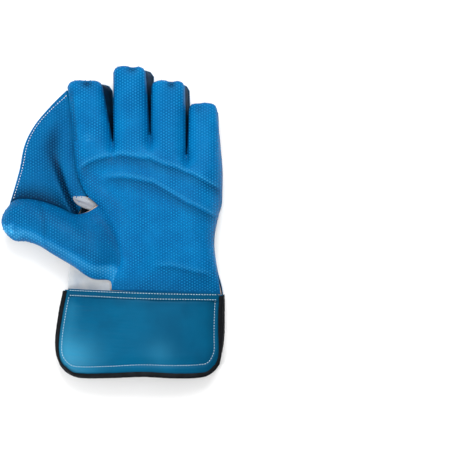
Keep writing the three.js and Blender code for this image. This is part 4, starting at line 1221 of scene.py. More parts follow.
# Cuff flap, padded between its stitch lines
# The pad in mm: its height, how far it rises from the seam, and where it ends below the wrist
PAD_HEIGHT = 1.6
PAD_RISE = 10
PAD_TOP = (4, 14)
# Height in mm, place inside the seam and spread of the roll outside it and of the groove along it
EDGE_ROLL = (0.5, -3, 1.6)
QUILT_GROOVE = (0.6, 0, 1.1)
# The relief calms down this far round the seam
PAD_CALM = (-3, 8)
# Fine lines run across the flap's left part: height and size in mm, seed, stretch, slant and where they end
STRETCH_LINES = (0.28, 2.2, 6.3)
LINE_STRETCH = 9
LINE_SLANT = 0.05
LINES_END = (0.3, 0.62)
# Painted sheen in pale patches and along the left edge, then painted shade on the right side, the band's
# painted shadow on the flap and painted shade over the whole band
FLAP_PALE = [(0.12, 0.13, 0.24, 0.2, 0.75), (0.63, 0.09, 0.24, 0.14, 0.3)]
FLAP_EDGE_PALE = (0.06, 0.06, 0.25)
FLAP_SIDE_DARK = 0.3
FLAP_TOP_DARK = (0.9, 0.08, 0.2)
BAND_DARK = 0.4
flap_plan = fill(flap_left, flap_right, flap_bottom, straight(flap_left(1), flap_right(1)))


def past_seam(s, t):
    """Distance inside the flap's quilting line in mm, below 0 outside it."""
    left = s * CUFF_WIDTH - SEAM_LEFT
    right = (1 - s) * CUFF_WIDTH - SEAM_RIGHT
    bottom = t * CUFF_LENGTH - SEAM_BOTTOM
    side = min(left, right)
    if side < SEAM_ROUND and bottom < SEAM_ROUND:
        return SEAM_ROUND - math.hypot(SEAM_ROUND - side, SEAM_ROUND - bottom)
    return min(side, bottom)


def flap_point(s, t):
    x, y = flap_plan(s, t)
    return x, y, arch(2 * s - 1)


def padded_flap_point(s, t):
    x, y, z = flap_point(s, t)
    inside = past_seam(s, t)
    top = (1 - t) * CUFF_LENGTH
    pad = PAD_HEIGHT * ease(0, PAD_RISE, inside) * ease(*PAD_TOP, top)
    roll = EDGE_ROLL[0] * bump(inside - EDGE_ROLL[1], EDGE_ROLL[2])
    groove = QUILT_GROOVE[0] * bump(inside - QUILT_GROOVE[1], QUILT_GROOVE[2])
    calm = ease(*PAD_CALM, inside)
    height, size, seed = STRETCH_LINES
    lines = height * wobble(x / LINE_STRETCH, y + LINE_SLANT * x, 0, size, seed) * (1 - ease(*LINES_END, s))
    return x, y, z + pad + roll - groove + calm * (relief("flap", x, y) + lines)


FLAP_CELLS = 150
FLAP_STEPS = 120


def flap_shade(s, t):
    """Painted sheen at the flap's lower left, painted shade towards its right and the band's painted shadow
    near its top.
    """
    pale = tone_spots(FLAP_PALE, s, t) + FLAP_EDGE_PALE[2] * bump(s - FLAP_EDGE_PALE[0], FLAP_EDGE_PALE[1])
    top = FLAP_TOP_DARK[2] * bump(t - FLAP_TOP_DARK[0], FLAP_TOP_DARK[1])
    return FLAP_SIDE_DARK * ease(0.8, 1, s) + top - pale


walled("cuff_flap_leather", grid(padded_flap_point, FLAP_CELLS, FLAP_STEPS, True), CUFF_WALL,
       ["coated_leather"], "cuff_leather", "cuff_panel", fill_share=0.5,
       shade=over(flap_shade, FLAP_CELLS, FLAP_STEPS))


def band_point(s, t):
    across = mix(BAND_TUCK, 1 - BAND_TUCK, s)
    x, y = straight(flap_left(1), flap_right(1))(across)
    crown = BAND_CROWN * math.sin(math.pi * t)
    ripple = relief("band", x, y)
    wave = relief("band_edge", x, 0) * (1 - t)
    y += mix(BAND_OVER - 1, BAND_OVER, t) * BAND_WIDTH + wave
    return x, y, arch(2 * across - 1) + 2 * GAP + BAND_WALL + crown + ripple


# The band carries an even painted shade
walled("cuff_band_leather", grid(band_point, 110, 8, True), BAND_WALL, ["coated_leather"],
       "cuff_leather", "cuff_band", shade=over(lambda s, t: BAND_DARK, 110, 8))


# Bindings: a folded tape swept round a hem
# Steps down each side and along the bottom; the side steps are closer together near the corners
HEM_SIDE_STEPS = 60
HEM_BOTTOM_STEPS = 130
HEM_CROWDING = 1.4
# The tape's nose is fuller than its sides, its edges turn in by this many mm, and the thread puckers it
TAPE_NOSE = 1.3
TAPE_TURN = 0.3
TAPE_PUCKER = (0.12, 3.4, 1.1)
TAPE_TURN_STEPS = 10
# How far from a corner the hem's inward step turns, in shares of its width and length
PALM_HEM_REACH = (0.093, 0.1)
BACK_HEM_REACH = (0.104, 0.058)
BACK_HEM_END = 0.26


def hem_stations(surface, t_end, reach_s, reach_t, length, up):
    """Walks a sheet's hem: down the left side, along the bottom and up the right side."""
    ds, dt = BINDING_WIDTH / CUFF_WIDTH, BINDING_WIDTH / length

    def near(distance, reach):
        return max(0, 1 - distance / reach)

    side, bottom = HEM_SIDE_STEPS, HEM_BOTTOM_STEPS
    spots = [(0, t_end * (1 - k / side) ** HEM_CROWDING) for k in range(side)]
    spots += [(0.5 - 0.5 * math.cos(math.pi * k / bottom), 0) for k in range(bottom + 1)]
    spots += [(1, t_end * (k / side) ** HEM_CROWDING) for k in range(1, side + 1)]
    stations = []
    for n, (s, t) in enumerate(spots):
        if 0 < s < 1:
            step = (ds * (near(s, reach_s) - near(1 - s, reach_s)), dt)
        else:
            step = (ds if s == 0 else -ds, dt * near(t, reach_t))
        edge = Vector(surface(s, t))
        inside = Vector(surface(s + step[0], t + step[1]))
        after = Vector(surface(*spots[min(n + 1, len(spots) - 1)]))
        before = Vector(surface(*spots[max(n - 1, 0)]))
        normal = (after - before).cross(inside - edge).normalized()
        stations.append((edge, inside, normal if up else -normal))
    return stations


def sweep_binding(name, stations, wall, node):
    half = wall / 2 + BINDING_EASE
    outer = half + BINDING_WALL
    nose = BINDING_EASE + BINDING_WALL
    lip = nose - BINDING_WIDTH
    turns = [math.pi * k / TAPE_TURN_STEPS - math.pi / 2 for k in range(TAPE_TURN_STEPS + 1)]
    section = [(lip, half), (BINDING_EASE, half), (BINDING_EASE, -half), (lip, -half)]
    section += [(lip - TAPE_TURN, -half - 0.5 * BINDING_WALL), (lip, -outer)]
    section += [(BINDING_EASE + math.cos(a) * BINDING_WALL * TAPE_NOSE, math.sin(a) * outer) for a in turns]
    section += [(lip, outer), (lip - TAPE_TURN, half + 0.5 * BINDING_WALL)]
    height, size, seed = TAPE_PUCKER
    points, faces = [], []
    m = len(section)
    travelled = 0
    for n, (edge, inside, normal) in enumerate(stations):
        travelled += (edge - stations[n - 1][0]).length if n else 0
        out = (edge - inside).normalized()
        middle = edge - normal * wall / 2
        for k, (along, across) in enumerate(section):
            pucker = height * wobble(travelled, along, across, size, seed) if k > 5 else 0
            points.append(tuple(middle + out * (along + pucker) + normal * across * (1 + 0.25 * pucker)))
    for i in range(len(stations) - 1):
        for k in range(m):
            a, b = i * m + k, i * m + (k + 1) % m
            faces.append((a, b, b + m, a + m))
    last = (len(stations) - 1) * m
    faces.append(tuple(range(m))[::-1])
    faces.append(tuple(last + k for k in range(m)))
    piece = make_piece(name, points, faces, ["folded_tape"])
    turn_outwards(piece)
    finish_piece(piece, "binding", node)


def turn_outwards(piece):
    shape = bmesh.new()
    shape.from_mesh(piece.data)
    bmesh.ops.recalc_face_normals(shape, faces=shape.faces)
    if shape.calc_volume(signed=True) < 0:
        bmesh.ops.reverse_faces(shape, faces=shape.faces)
    shape.to_mesh(piece.data)
    shape.free()


sweep_binding("palm_cuff_binding", hem_stations(flap_point, 1, *PALM_HEM_REACH, CUFF_LENGTH, True),
              CUFF_WALL, "cuff_binding_palm")


def back_hem_surface(s, t):
    f = min(3, int(s * 4)) if s < 1 else 3
    x, y, z = back_surface(mix(SLITS[f], SLITS[f + 1], s * 4 - f), t)
    return x, y, z - BACK_CLEAR


back_length = CUFF_LENGTH + BACK_FINGERS[1][2][1] * PALM_LENGTH
back_hem = hem_stations(back_hem_surface, BACK_HEM_END, *BACK_HEM_REACH, back_length, False)
sweep_binding("back_cuff_binding", back_hem, BACK_WALL, "cuff_binding_back")


# Panels of foil and navy leather laid on the glove's back, in drawing millimetres
APPLIQUES = [
    ("index_foil_panel", "foil_leather", BACK_BED, [
        (-69.5, 213.5), (-52, 214.5), (-49, 211.5), (-42, 193), (-42, 183), (-61, 189), (-66, 204),
        (-68, 209)]),
    ("middle_foil_panel", "foil_leather", BACK_BED, [
        (-16, 236), (-2.5, 234), (2, 230.5), (4, 194), (2, 189), (-13.5, 200)]),
    ("ring_foil_panel", "foil_leather", BACK_BED, [
        (28, 218), (39, 216.5), (43, 209.5), (43, 175.5), (42, 167), (30, 179)]),
    ("hand_foil_panel", "foil_leather", BACK_BED, [
        (41, 96), (71, 112), (74, 88), (71, 85), (8, 44), (8, 50), (41, 70)]),
    ("hand_foil_bar", "foil_leather", BACK_BED, [(0, 46), (0, 40.5), (-41, 11), (-41, 17)]),
    ("wrist_foil_panel", "foil_leather", BACK_BED, [
        (-80, -29.5), (5, 30), (69, 75), (69, 59), (21, 26), (5, 14), (-41, -17), (-42, -58), (-77, -77.5),
        (-80, -74)]),
    ("wrist_navy_panel", "navy_leather", BACK_BED, [
        (45, 41.5), (21, 25), (5, 13), (-40.3, -17.6), (-41.3, -58.8), (-58, -68.3), (-59, -90), (68, -90),
        (78, -78), (79, -20), (71, 27), (68.6, 31), (46.5, 14.5)]),
    ("web_foil_panel", "foil_leather", WEB_BED, [
        (-84, 207), (-83, 193), (-92.5, 180), (-107, 176), (-97, 195)]),
    ("web_foil_bar", "foil_leather", WEB_BED, [
        (-106, 184), (-112, 174), (-120, 158), (-122, 131), (-118, 131), (-116, 157), (-108.5, 172),
        (-103, 181)]),
]
# Grooved lines across the finger panels: x from and to, then each line's y at both ends
PANEL_LINES = [
    (-64, -48, [(210, 206), (205.6, 201.2), (201.2, 196.2), (196.8, 191.2)]),
    (-14, 1, [(229.7, 223.4), (224, 217.5), (218.6, 212.1), (212.4, 205.2)]),
    (30, 41, [(210.4, 204.6), (204.2, 198.1), (198.1, 192), (191.5, 185.4)]),
]
PANEL_ROUND = 2.5
PANEL_CELL = 5
LINE_WIDTH = 1.2
LINE_WALL = 0.12


def rounded(outline, radius):
    """The outline with its corners turned into short curves."""
    path = []
    count = len(outline)
    for i in range(count):
        corner = Vector((*outline[i], 0))
        before = Vector((*outline[i - 1], 0)) - corner
        after = Vector((*outline[(i + 1) % count], 0)) - corner
        start = corner + before.normalized() * min(radius, 0.45 * before.length)
        end = corner + after.normalized() * min(radius, 0.45 * after.length)
        for k in range(5):
            a, b = start.lerp(corner, k / 4), corner.lerp(end, k / 4)
            path.append(a.lerp(b, k / 4))
    return path


def below(bed, x, y):
    """Height of a back surface, seen from the floor."""
    hit = bed.ray_cast(Vector((x, y, -50)), Vector((0, 0, 1)))[0]
    return hit.z if hit else bed.find_nearest(Vector((x, y, 0)))[0].z


def applique(name, finish, bed, outline, wall=APPLIQUE_WALL, drop=0.0):
    """A thin panel that follows a back surface, its outline cut into small cells so that it bends."""
    path = rounded(outline, PANEL_ROUND)
    shape = bmesh.new()
    shape.faces.new([shape.verts.new(p) for p in path])
    shape.normal_update()
    bmesh.ops.triangulate(shape, faces=shape.faces[:], ngon_method="EAR_CLIP")
    for axis in (0, 1):
        low, high = min(p[axis] for p in path), max(p[axis] for p in path)
        for k in range(1, int((high - low) / PANEL_CELL) + 1):
            place, normal = Vector(), Vector()
            place[axis] = low + k * PANEL_CELL
            normal[axis] = 1
            bmesh.ops.bisect_plane(shape, geom=shape.verts[:] + shape.edges[:] + shape.faces[:],
                                   plane_co=place, plane_no=normal)
    bmesh.ops.recalc_face_normals(shape, faces=shape.faces[:])
    shape.verts.ensure_lookup_table()
    points = [(v.co.x, v.co.y, below(bed, v.co.x, v.co.y) - wall - drop) for v in shape.verts]
    faces = []
    for face in shape.faces:
        ring = [v.index for v in face.verts]
        faces.append(ring[::-1] if face.normal.z > 0 else ring)
    shape.free()
    walled(name, (points, faces), 0.95 * wall, [finish], "back_leather")


for name, finish, bed, outline in APPLIQUES:
    applique(name, finish, bed, outline)
for n, (left, right, lines) in enumerate(PANEL_LINES):
    for k, (y0, y1) in enumerate(lines):
        strip = [(left, y0), (right, y1), (right, y1 - LINE_WIDTH), (left, y0 - LINE_WIDTH)]
        applique(f"panel_line_{n}_{k}", "navy_leather", BACK_BED, strip, LINE_WALL, APPLIQUE_WALL)


# Lining sleeve and the tongue in the thumb's crotch
def sleeve_ring(k, t):
    """A point of the sleeve: k once round it and t from its mouth inwards."""
    clear = CUFF_WALL + 2 * GAP
    back_edge = (cuff_spot(BACK_LEFT[2][2], 0)[0], cuff_spot(BACK_RIGHT[2][2], 0)[0])
    rim_height = EDGE_RISE + BINDING_WALL + BINDING_EASE + 2 * GAP
    angle = 2 * math.pi * k
    left = CUFF_SHIFT + read(SLEEVE, 2, t) * CUFF_WIDTH
    right = CUFF_SHIFT + read(SLEEVE, 3, t) * CUFF_WIDTH
    c, s = math.cos(angle), math.sin(angle)
    x = mix(left, right, (1 + math.copysign(abs(c) ** 0.8, c)) / 2)
    y = -read(SLEEVE, 1, t) * CUFF_LENGTH
    inside = min(x - back_edge[0], back_edge[1] - x)
    floor_z = BACK_WALL + 2 * GAP + rim_height * clamp(1 - (inside - BINDING_WIDTH) / 10, 0, 1) ** 2
    roof = arch(clamp((x - CUFF_SHIFT - 0.02 * CUFF_WIDTH) / (0.455 * CUFF_WIDTH), -1, 1)) - clear
    z = mix(LINING_SEAM, roof if s >= 0 else floor_z, abs(s) ** 0.6)
    soft = abs(s) ** 0.5 * relief("sleeve", x, y, z)
    tuck = soft if s < 0 else -abs(soft)
    return x, y, z + max(0, tuck) if s < 0 else z + tuck


def sleeve_patch():
    around, along = 96, 60
    points = [sleeve_ring(k / around, j / along) for j in range(along + 1) for k in range(around)]
    quads = []
    for j in range(along):
        for k in range(around):
            a, b = j * around + k, j * around + (k + 1) % around
            quads.append((a + around, b + around, b, a))
    return points, quads


walled("wrist_lining_cotton", sleeve_patch(), LINING_WALL, ["brushed_cotton"], "lining", "wrist_lining")


# The tongue's soft edge spreads this much further below the crotch than its solid does
TONGUE_SPREAD = 1.3
# How dark its cotton is in the crotch's shadow, in its crease and at its root
TONGUE_TONE = 0.5
TONGUE_CREASE_TONE = 0.5
TONGUE_ROOT_TONE = 0.3


def tongue_point(s, t):
    cx, cy = palm_left(CROTCH)
    x = mix(-1, 1, s)
    half = TONGUE_HALF_WIDTH * math.sqrt(1.04 - x * x)
    along = TONGUE_HALF_LENGTH * (x - 0.9)
    crease = 0.7 * bump(t - 0.45 - 0.1 * x, 0.09) * ease(0, 0.3, s) * (1 - ease(0.6, 1, s))
    z = TONGUE_HEIGHT + TONGUE_CROWN * (1 - x * x) * math.sin(math.pi * t) - crease
    y = cy - TONGUE_SLOPE * along + mix(-TONGUE_SPREAD * half, half, t)
    return cx + along, y, z + relief("tongue", 10 * s, 10 * t)


def tongue_shade(s, t):
    """Cotton in shadow, darkest in its crease and towards the crotch."""
    return TONGUE_TONE + TONGUE_CREASE_TONE * bump(t - 0.4, 0.1) + TONGUE_ROOT_TONE * (1 - ease(0, 0.3, s))


TONGUE_CELLS = 36
TONGUE_STEPS = 20
walled("crotch_tongue_cotton", grid(tongue_point, TONGUE_CELLS, TONGUE_STEPS, True), LINING_WALL,
       ["brushed_cotton"], "lining", "crotch_lining", shade=over(tongue_shade, TONGUE_CELLS, TONGUE_STEPS))


# Welts along the finger backs
def welt(f):
    finger = BACK_FINGERS[f]

    def surface(s, t):
        v = mix(0.2, 0.96, t)
        x, y = finger_spot(finger, 0, v, 0, BACK_TRIM)
        wide = finger_spot(finger, 1 / 4, v, 0, BACK_TRIM)[0]
        along = mix(0.2, 0.2 + WELT_WIDTH, s)
        z = mix(back_finger_height(0, v), back_finger_height(1 / 4, v), along / (wide - x))
        return x + along, y, z + lift_at(y) - GAP + 0.25 * math.sin(math.pi * s)

    walled(f"{finger[0]}_welt_cotton", grid(surface, 5, 60, True), WELT_HEIGHT, ["brushed_cotton"],
           "lining", f"{finger[0]}_welt")


for number in range(4):
    welt(number)


# Repeats made by Geometry Nodes
# A stud's sides, and its top's radius in shares of its foot's
STUD_SIDES = 7
STUD_TOP = 0.62
# Studs take this share of the painted shade of the rubber under them
STUD_TONE = 0.85


def named_tree(name, geometry_in, sizes, geometry_out):
    tree = bpy.data.node_groups.new(name, "GeometryNodeTree")
    tree.interface.new_socket(geometry_in, in_out="INPUT", socket_type="NodeSocketGeometry")
    for label in sizes:
        tree.interface.new_socket(label, in_out="INPUT", socket_type="NodeSocketFloat")
    tree.interface.new_socket("Finish", in_out="INPUT", socket_type="NodeSocketMaterial")
    tree.interface.new_socket(geometry_out, in_out="OUTPUT", socket_type="NodeSocketGeometry")
    return tree, add(tree, "NodeGroupInput").outputs


def pimple_tree():
    """A staggered lattice of studs laid out in plan, carried onto the surface and kept off its edges."""
    tree, inputs = named_tree("pimple_field", "Surface", ("Pitch", "Radius", "Height", "Margin"), "Pimples")
    flat = add(tree, "GeometryNodeInputNamedAttribute", {"Name": "plan"}, data_type="FLOAT_VECTOR")
    reach = add(tree, "GeometryNodeAttributeStatistic", {
        "Geometry": inputs["Surface"], "Attribute": flat.outputs["Attribute"]}, data_type="FLOAT_VECTOR")
    sides = add(tree, "ShaderNodeSeparateXYZ", {0: reach.outputs["Range"]})
    total = add(tree, "ShaderNodeVectorMath", {0: reach.outputs["Max"], 1: reach.outputs["Min"]},
                operation="ADD")
    middle = add(tree, "ShaderNodeVectorMath", {0: total.outputs[0], 3: 0.5}, operation="SCALE")
    column_pitch = add(tree, "ShaderNodeMath", {0: inputs["Pitch"], 1: math.sqrt(3) / 2},
                       operation="MULTIPLY")
    columns = add(tree, "ShaderNodeMath", {0: sides.outputs["X"], 1: column_pitch.outputs[0]},
                  operation="DIVIDE")
    row_share = add(tree, "ShaderNodeMath", {0: sides.outputs["Y"], 1: inputs["Pitch"]}, operation="DIVIDE")
    rows = add(tree, "ShaderNodeMath", {0: row_share.outputs[0]}, operation="FLOOR")
    lattice = add(tree, "GeometryNodeMeshGrid", {
        "Size X": sides.outputs["X"], "Size Y": sides.outputs["Y"],
        "Vertices X": columns.outputs[0], "Vertices Y": rows.outputs[0]})
    index = add(tree, "GeometryNodeInputIndex")
    column_share = add(tree, "ShaderNodeMath", {0: index.outputs[0], 1: rows.outputs[0]}, operation="DIVIDE")
    column = add(tree, "ShaderNodeMath", {0: column_share.outputs[0]}, operation="FLOOR")
    odd = add(tree, "ShaderNodeMath", {0: column.outputs[0], 1: 2.0}, operation="MODULO")
    half = add(tree, "ShaderNodeMath", {0: inputs["Pitch"], 1: 0.5}, operation="MULTIPLY")
    aside = add(tree, "ShaderNodeMath", {0: odd.outputs[0], 1: half.outputs[0]}, operation="MULTIPLY")
    stagger = add(tree, "ShaderNodeCombineXYZ", {"Y": aside.outputs[0]})
    offset = add(tree, "ShaderNodeVectorMath", {0: middle.outputs[0], 1: stagger.outputs[0]}, operation="ADD")
    laid = add(tree, "GeometryNodeSetPosition", {"Geometry": lattice.outputs["Mesh"],
                                                 "Offset": offset.outputs[0]})
    here = add(tree, "GeometryNodeInputPosition")
    facing = add(tree, "GeometryNodeInputNormal")
    field = add(tree, "GeometryNodeInputNamedAttribute", {"Name": "field"}, data_type="FLOAT")

    def carried(value, data_type):
        return add(tree, "GeometryNodeSampleUVSurface", {
            "Mesh": inputs["Surface"], "Value": value, 2: flat.outputs["Attribute"], 3: here.outputs[0]},
            data_type=data_type)
    depth = carried(field.outputs["Attribute"], "FLOAT")
    outside = add(tree, "FunctionNodeCompare", {0: depth.outputs["Value"], 1: inputs["Margin"]},
                  data_type="FLOAT", operation="LESS_THAN")
    missed = add(tree, "FunctionNodeBooleanMath", {0: depth.outputs["Is Valid"]}, operation="NOT")
    gone = add(tree, "FunctionNodeBooleanMath", {0: missed.outputs[0], 1: outside.outputs[0]}, operation="OR")
    kept = add(tree, "GeometryNodeDeleteGeometry", {
        "Geometry": laid.outputs[0], "Selection": gone.outputs[0]}, domain="POINT")
    stored = add(tree, "GeometryNodeStoreNamedAttribute", {
        "Geometry": kept.outputs[0], "Name": "lean",
        "Value": carried(facing.outputs[0], "FLOAT_VECTOR").outputs[0]},
        data_type="FLOAT_VECTOR", domain="POINT")
    for name in ("shade", "pale_and_highlight"):
        wanted = add(tree, "GeometryNodeInputNamedAttribute", {"Name": name}, data_type="FLOAT")
        stored = add(tree, "GeometryNodeStoreNamedAttribute", {
            "Geometry": stored.outputs[0], "Name": name,
            "Value": carried(wanted.outputs["Attribute"], "FLOAT").outputs["Value"]},
            data_type="FLOAT", domain="POINT")
    landed = add(tree, "GeometryNodeSetPosition", {
        "Geometry": stored.outputs[0], "Position": carried(here.outputs[0], "FLOAT_VECTOR").outputs[0]})
    lean = add(tree, "GeometryNodeInputNamedAttribute", {"Name": "lean"}, data_type="FLOAT_VECTOR")
    turn = add(tree, "FunctionNodeAlignRotationToVector", {"Vector": lean.outputs["Attribute"]}, axis="Z")
    top = add(tree, "ShaderNodeMath", {0: inputs["Radius"], 1: STUD_TOP}, operation="MULTIPLY")
    stud = add(tree, "GeometryNodeMeshCone", {
        "Vertices": STUD_SIDES, "Side Segments": 1, "Radius Top": top.outputs[0],
        "Radius Bottom": inputs["Radius"], "Depth": inputs["Height"]}, fill_type="NGON")
    placed = add(tree, "GeometryNodeInstanceOnPoints", {
        "Points": landed.outputs[0], "Instance": stud.outputs["Mesh"], "Rotation": turn.outputs[0]})
    real = add(tree, "GeometryNodeRealizeInstances", {0: placed.outputs[0]})
    finished = add(tree, "GeometryNodeSetMaterial", {
        "Geometry": real.outputs[0], "Material": inputs["Finish"]})
    add(tree, "NodeGroupOutput", {0: finished.outputs[0]})
    return tree


def stitch_tree():
    """Short lengths of thread laid end to end along a path."""
    tree, inputs = named_tree("stitch_rows", "Path", ("Pitch", "Length", "Radius"), "Stitches")
    line = add(tree, "GeometryNodeMeshToCurve", {0: inputs["Path"]})
    spaced = add(tree, "GeometryNodeResampleCurve", {"Curve": line.outputs[0], "Length": inputs["Pitch"]},
                 mode="LENGTH")
    along = add(tree, "GeometryNodeInputTangent")
    turn = add(tree, "FunctionNodeAlignRotationToVector", {"Vector": along.outputs[0]}, axis="X")
    ball = add(tree, "GeometryNodeMeshUVSphere", {"Segments": 6, "Rings": 5, "Radius": 1.0})
    half = add(tree, "ShaderNodeMath", {0: inputs["Length"], 1: 0.5}, operation="MULTIPLY")
    size = add(tree, "ShaderNodeCombineXYZ", {"X": half.outputs[0], "Y": inputs["Radius"],
                                              "Z": inputs["Radius"]})
    placed = add(tree, "GeometryNodeInstanceOnPoints", {
        "Points": spaced.outputs[0], "Instance": ball.outputs["Mesh"], "Rotation": turn.outputs[0],
        "Scale": size.outputs[0]})
    real = add(tree, "GeometryNodeRealizeInstances", {0: placed.outputs[0]})
    finished = add(tree, "GeometryNodeSetMaterial", {
        "Geometry": real.outputs[0], "Material": inputs["Finish"]})
    add(tree, "NodeGroupOutput", {0: finished.outputs[0]})
    return tree


PIMPLE_TREE = pimple_tree()
STITCH_TREE = stitch_tree()


def grown(name, source_mesh, tree, values):
    """Runs a tree on a mesh with named input values and keeps its result as a plain mesh."""
    source = put_in_scene(name + "_source", source_mesh)
    modifier = source.modifiers.new("grow", "NODES")
    modifier.node_group = tree
    for item in tree.interface.items_tree:
        if item.in_out == "INPUT" and item.name in values:
            modifier[item.identifier] = values[item.name]
    bpy.context.view_layer.update()
    result = bpy.data.meshes.new_from_object(source.evaluated_get(bpy.context.evaluated_depsgraph_get()))
    source.modifiers.remove(modifier)
    bpy.data.objects.remove(source)
    result.name = name
    result.polygons.foreach_set("use_smooth", [True] * len(result.polygons))
    return put_in_scene(name, result)


def pimples(name, points, quads, shade, no_margin=()):
    """Studs all over a facing; field holds the distance from its nearest open edge."""
    places = [metres(p) for p in points]
    counts = {}
    for q in quads:
        for a, b in sides(q):
            key = (min(a, b), max(a, b))
            counts[key] = counts.get(key, 0) + 1
    rim = sorted({i for key, n in counts.items() if n == 1 for i in key} - set(no_margin))
    tree = KDTree(len(rim))
    for i in rim:
        tree.insert(places[i], i)
    tree.balance()
    mesh = bpy.data.meshes.new(name + "_bed")
    mesh.from_pydata(places, [], quads)
    set_values(mesh, "field", [tree.find(p)[2] for p in places])
    set_values(mesh, "shade", [STUD_TONE * max(0, v) for v in shade])
    set_values(mesh, "pale_and_highlight", [max(0, -v) for v in shade])
    flat = [c for place in places for c in (place.x, place.y, 0.0)]
    mesh.attributes.new("plan", "FLOAT_VECTOR", "POINT").data.foreach_set("vector", flat)
    sizes = {"Pitch": PIMPLE_PITCH / 1000, "Radius": PIMPLE_RADIUS / 1000, "Height": PIMPLE_HEIGHT / 1000,
             "Margin": PIMPLE_MARGIN / 1000, "Finish": MATERIALS["moulded_rubber_pimples"]}
    finish_piece(grown(name, mesh, PIMPLE_TREE, sizes), "pimpled_rubber")


def stitches(name, paths, slot_name, thread="polyester_thread", pitch=STITCH_PITCH, length=STITCH_LENGTH):
    """One piece of stitches along paths in drawing millimetres."""
    points, edges = [], []
    for path in paths:
        start = len(points)
        points += [metres(p) for p in path]
        edges += [(k, k + 1) for k in range(start, len(points) - 1)]
    mesh = bpy.data.meshes.new(name + "_path")
    mesh.from_pydata(points, edges, [])
    sizes = {"Pitch": pitch / 1000, "Length": length / 1000, "Radius": STITCH_RADIUS / 1000,
             "Finish": MATERIALS[thread]}
    finish_piece(grown(name, mesh, STITCH_TREE, sizes), slot_name)


# Where palm and web meet in a soft roll, the studs run on across the joint: its end as a share of the
# palm's side, and the first row of the web that takes part
ROLL_TOP = 0.85
WEB_ROLL_FROM = 9
joint = [j for j in range(CROTCH_STEP + 1, len(EDGE_STATIONS)) if EDGE_STATIONS[j] < ROLL_TOP]
pimples("palm_pimples", palm_points, palm_quads, palm_shade, joint)
pimples("web_pimples", web_points, web_quads, web_shades,
        [j * (WEB_CELLS + 1) for j in range(WEB_ROLL_FROM, WEB_STEPS // 4)])


# Seams
# Where the band's two seams lie across it, and how far up the flap its quilting seam runs
BAND_SEAMS = (0.16, 0.84)
FLAP_SEAM_TOP = 0.9


def on(surface, places, lift=0.5 * STITCH_RADIUS):
    """Points just above a surface at places of s and t."""
    path = []
    for s, t in places:
        x, y, z = surface(s, t)
        path.append((x, y, z + lift))
    return path


def flap_seam():
    """The flap's quilting line: down the left side, round the corners and up again."""
    left, right = SEAM_LEFT / CUFF_WIDTH, 1 - SEAM_RIGHT / CUFF_WIDTH
    low = SEAM_BOTTOM / CUFF_LENGTH
    rs, rt = SEAM_ROUND / CUFF_WIDTH, SEAM_ROUND / CUFF_LENGTH
    places = [(left, mix(FLAP_SEAM_TOP, low + rt, k / 30)) for k in range(31)]
    turns = [math.pi / 2 * k / 12 for k in range(1, 12)]
    places += [(left + rs * (1 - math.cos(a)), low + rt * (1 - math.sin(a))) for a in turns]
    places += [(mix(left + rs, right - rs, k / 80), low) for k in range(81)]
    places += [(right - rs * (1 - math.sin(a)), low + rt * (1 - math.cos(a))) for a in turns]
    places += [(right, mix(low + rt, FLAP_SEAM_TOP, k / 30)) for k in range(31)]
    return places


across = [k / 120 for k in range(2, 119)]
stitches("cuff_stitches", [
    *[on(band_point, [(s, seam) for s in across]) for seam in BAND_SEAMS],
    on(padded_flap_point, flap_seam()),
], "cuff_leather")
up_the_web = [mix(0.03, 0.97, k / 120) for k in range(121)]
stitches("web_stitches", [on(web_point, [(1 - rim_share(t, WEB_SEAM), t) for t in up_the_web])],
         "lining", "white_thread")


def inset_path(outline, distance):
    """The closed outline moved inwards."""
    path = rounded(outline, PANEL_ROUND)
    turning = sum(path[i - 1].cross(path[i]).z for i in range(len(path)))
    side = 1 if turning > 0 else -1
    moved = []
    for i in range(len(path)):
        along = (path[(i + 1) % len(path)] - path[i - 2]).normalized()
        moved.append(path[i] + Vector((-along.y, along.x, 0)) * side * distance)
    return moved + moved[:1]


def dense(path, step=2.0):
    """The path with points no further apart than a step."""
    points = []
    for a, b in zip(path, path[1:]):
        pieces = max(1, int((b - a).length / step))
        points += [a.lerp(b, k / pieces) for k in range(pieces)]
    return points + [path[-1]]


# Seam of each panel, and how deep the back's thread lies in shares of its radius
PANEL_SEAM = 1.6
THREAD_SINK = 0.4
# Seams up each finger's back and up both sides of the hand, in shares across
FINGER_SEAMS = (0.07, 0.93)
SIDE_SEAMS = (0.035, 0.965)
BACK_STITCH_PITCH = 2.4
BACK_STITCH_LENGTH = 1.7


def under(bed, places, drop=0.0):
    """A seam's path on a back surface."""
    return [(x, y, below(bed, x, y) - drop - THREAD_SINK * STITCH_RADIUS) for x, y in places]


back_rows = []
for _, _, bed, outline in APPLIQUES:
    seam = [(p.x, p.y) for p in dense(inset_path(outline, PANEL_SEAM))]
    back_rows.append(under(bed, seam, APPLIQUE_WALL))
for finger in BACK_FINGERS:
    for sigma in FINGER_SEAMS:
        places = [finger_spot(finger, sigma, v / 60, 0, BACK_TRIM) for v in range(3, 58)]
        back_rows.append(under(BACK_BED, places))
for s in SIDE_SEAMS:
    back_rows.append(under(BACK_BED, [back_plan(s, t / 100) for t in range(24, 99)]))
stitches("back_stitches", back_rows, "back_leather", pitch=BACK_STITCH_PITCH, length=BACK_STITCH_LENGTH)


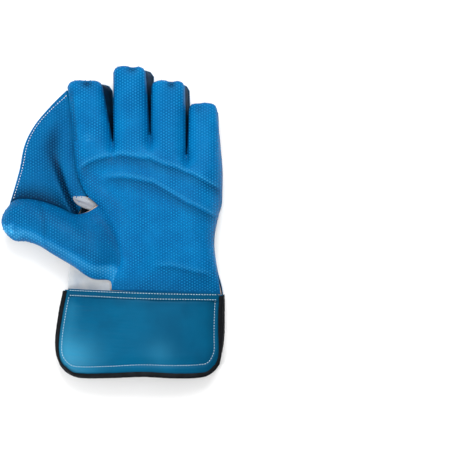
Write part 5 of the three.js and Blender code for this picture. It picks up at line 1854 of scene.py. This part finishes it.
# Camera straight above, as the glove is seen lying on its back; the middle of its outline is in pixels
PHOTO_PIXELS = 450
MM_PER_PIXEL = 1.08
GLOVE_MIDDLE_X = 112.4
GLOVE_MIDDLE_Y = 223.4
CAMERA_HEIGHT = 1.3
LOOK_HEIGHT = 0.03
SENSOR_MM = 36
view_width = PHOTO_PIXELS * MM_PER_PIXEL / 1000
camera_data = bpy.data.cameras.new("overhead_camera")
camera_data.sensor_width = SENSOR_MM
camera_data.lens = SENSOR_MM * (CAMERA_HEIGHT - LOOK_HEIGHT) / view_width
camera = put_in_scene("overhead_camera", camera_data)
camera.location = (
    (PHOTO_PIXELS / 2 - GLOVE_MIDDLE_X) * MM_PER_PIXEL / 1000,
    (GLOVE_MIDDLE_Y - PHOTO_PIXELS / 2) * MM_PER_PIXEL / 1000,
    CAMERA_HEIGHT,
)
bpy.context.scene.camera = camera


# Pale floor under plain soft light
floor_mesh = bpy.data.meshes.new("floor")
reach = 3.0  # half the floor's width in metres
floor_mesh.from_pydata([(-reach, -reach, 0), (reach, -reach, 0), (reach, reach, 0), (-reach, reach, 0)], [],
                       [(0, 1, 2, 3)])
floor_mesh.materials.append(MATERIALS["painted_board"])
floor = put_in_scene("floor", floor_mesh)
# Each light: name, place in metres, width in metres and power in watts
LIGHTS = [
    ("key_softbox", (0.2, 0.95, 1.1), 0.8, 17),
    ("side_softbox", (-1.0, -0.75, 0.7), 0.55, 11),
    ("top_softbox", (0.1, 0.1, 1.9), 1.6, 10),
]
for name, place, size, power in LIGHTS:
    light_data = bpy.data.lights.new(name, "AREA")
    light_data.size = size
    light_data.energy = power
    light = put_in_scene(name, light_data)
    light.location = place
    light.rotation_euler = (-Vector(place)).to_track_quat("-Z", "Y").to_euler()
world = bpy.data.worlds.new("studio")
world.use_nodes = True
world.node_tree.nodes["Background"].inputs["Color"].default_value = (1, 1, 1, 1)
world.node_tree.nodes["Background"].inputs["Strength"].default_value = 0.5
bpy.context.scene.world = world
bpy.context.scene.view_settings.view_transform = "Standard"
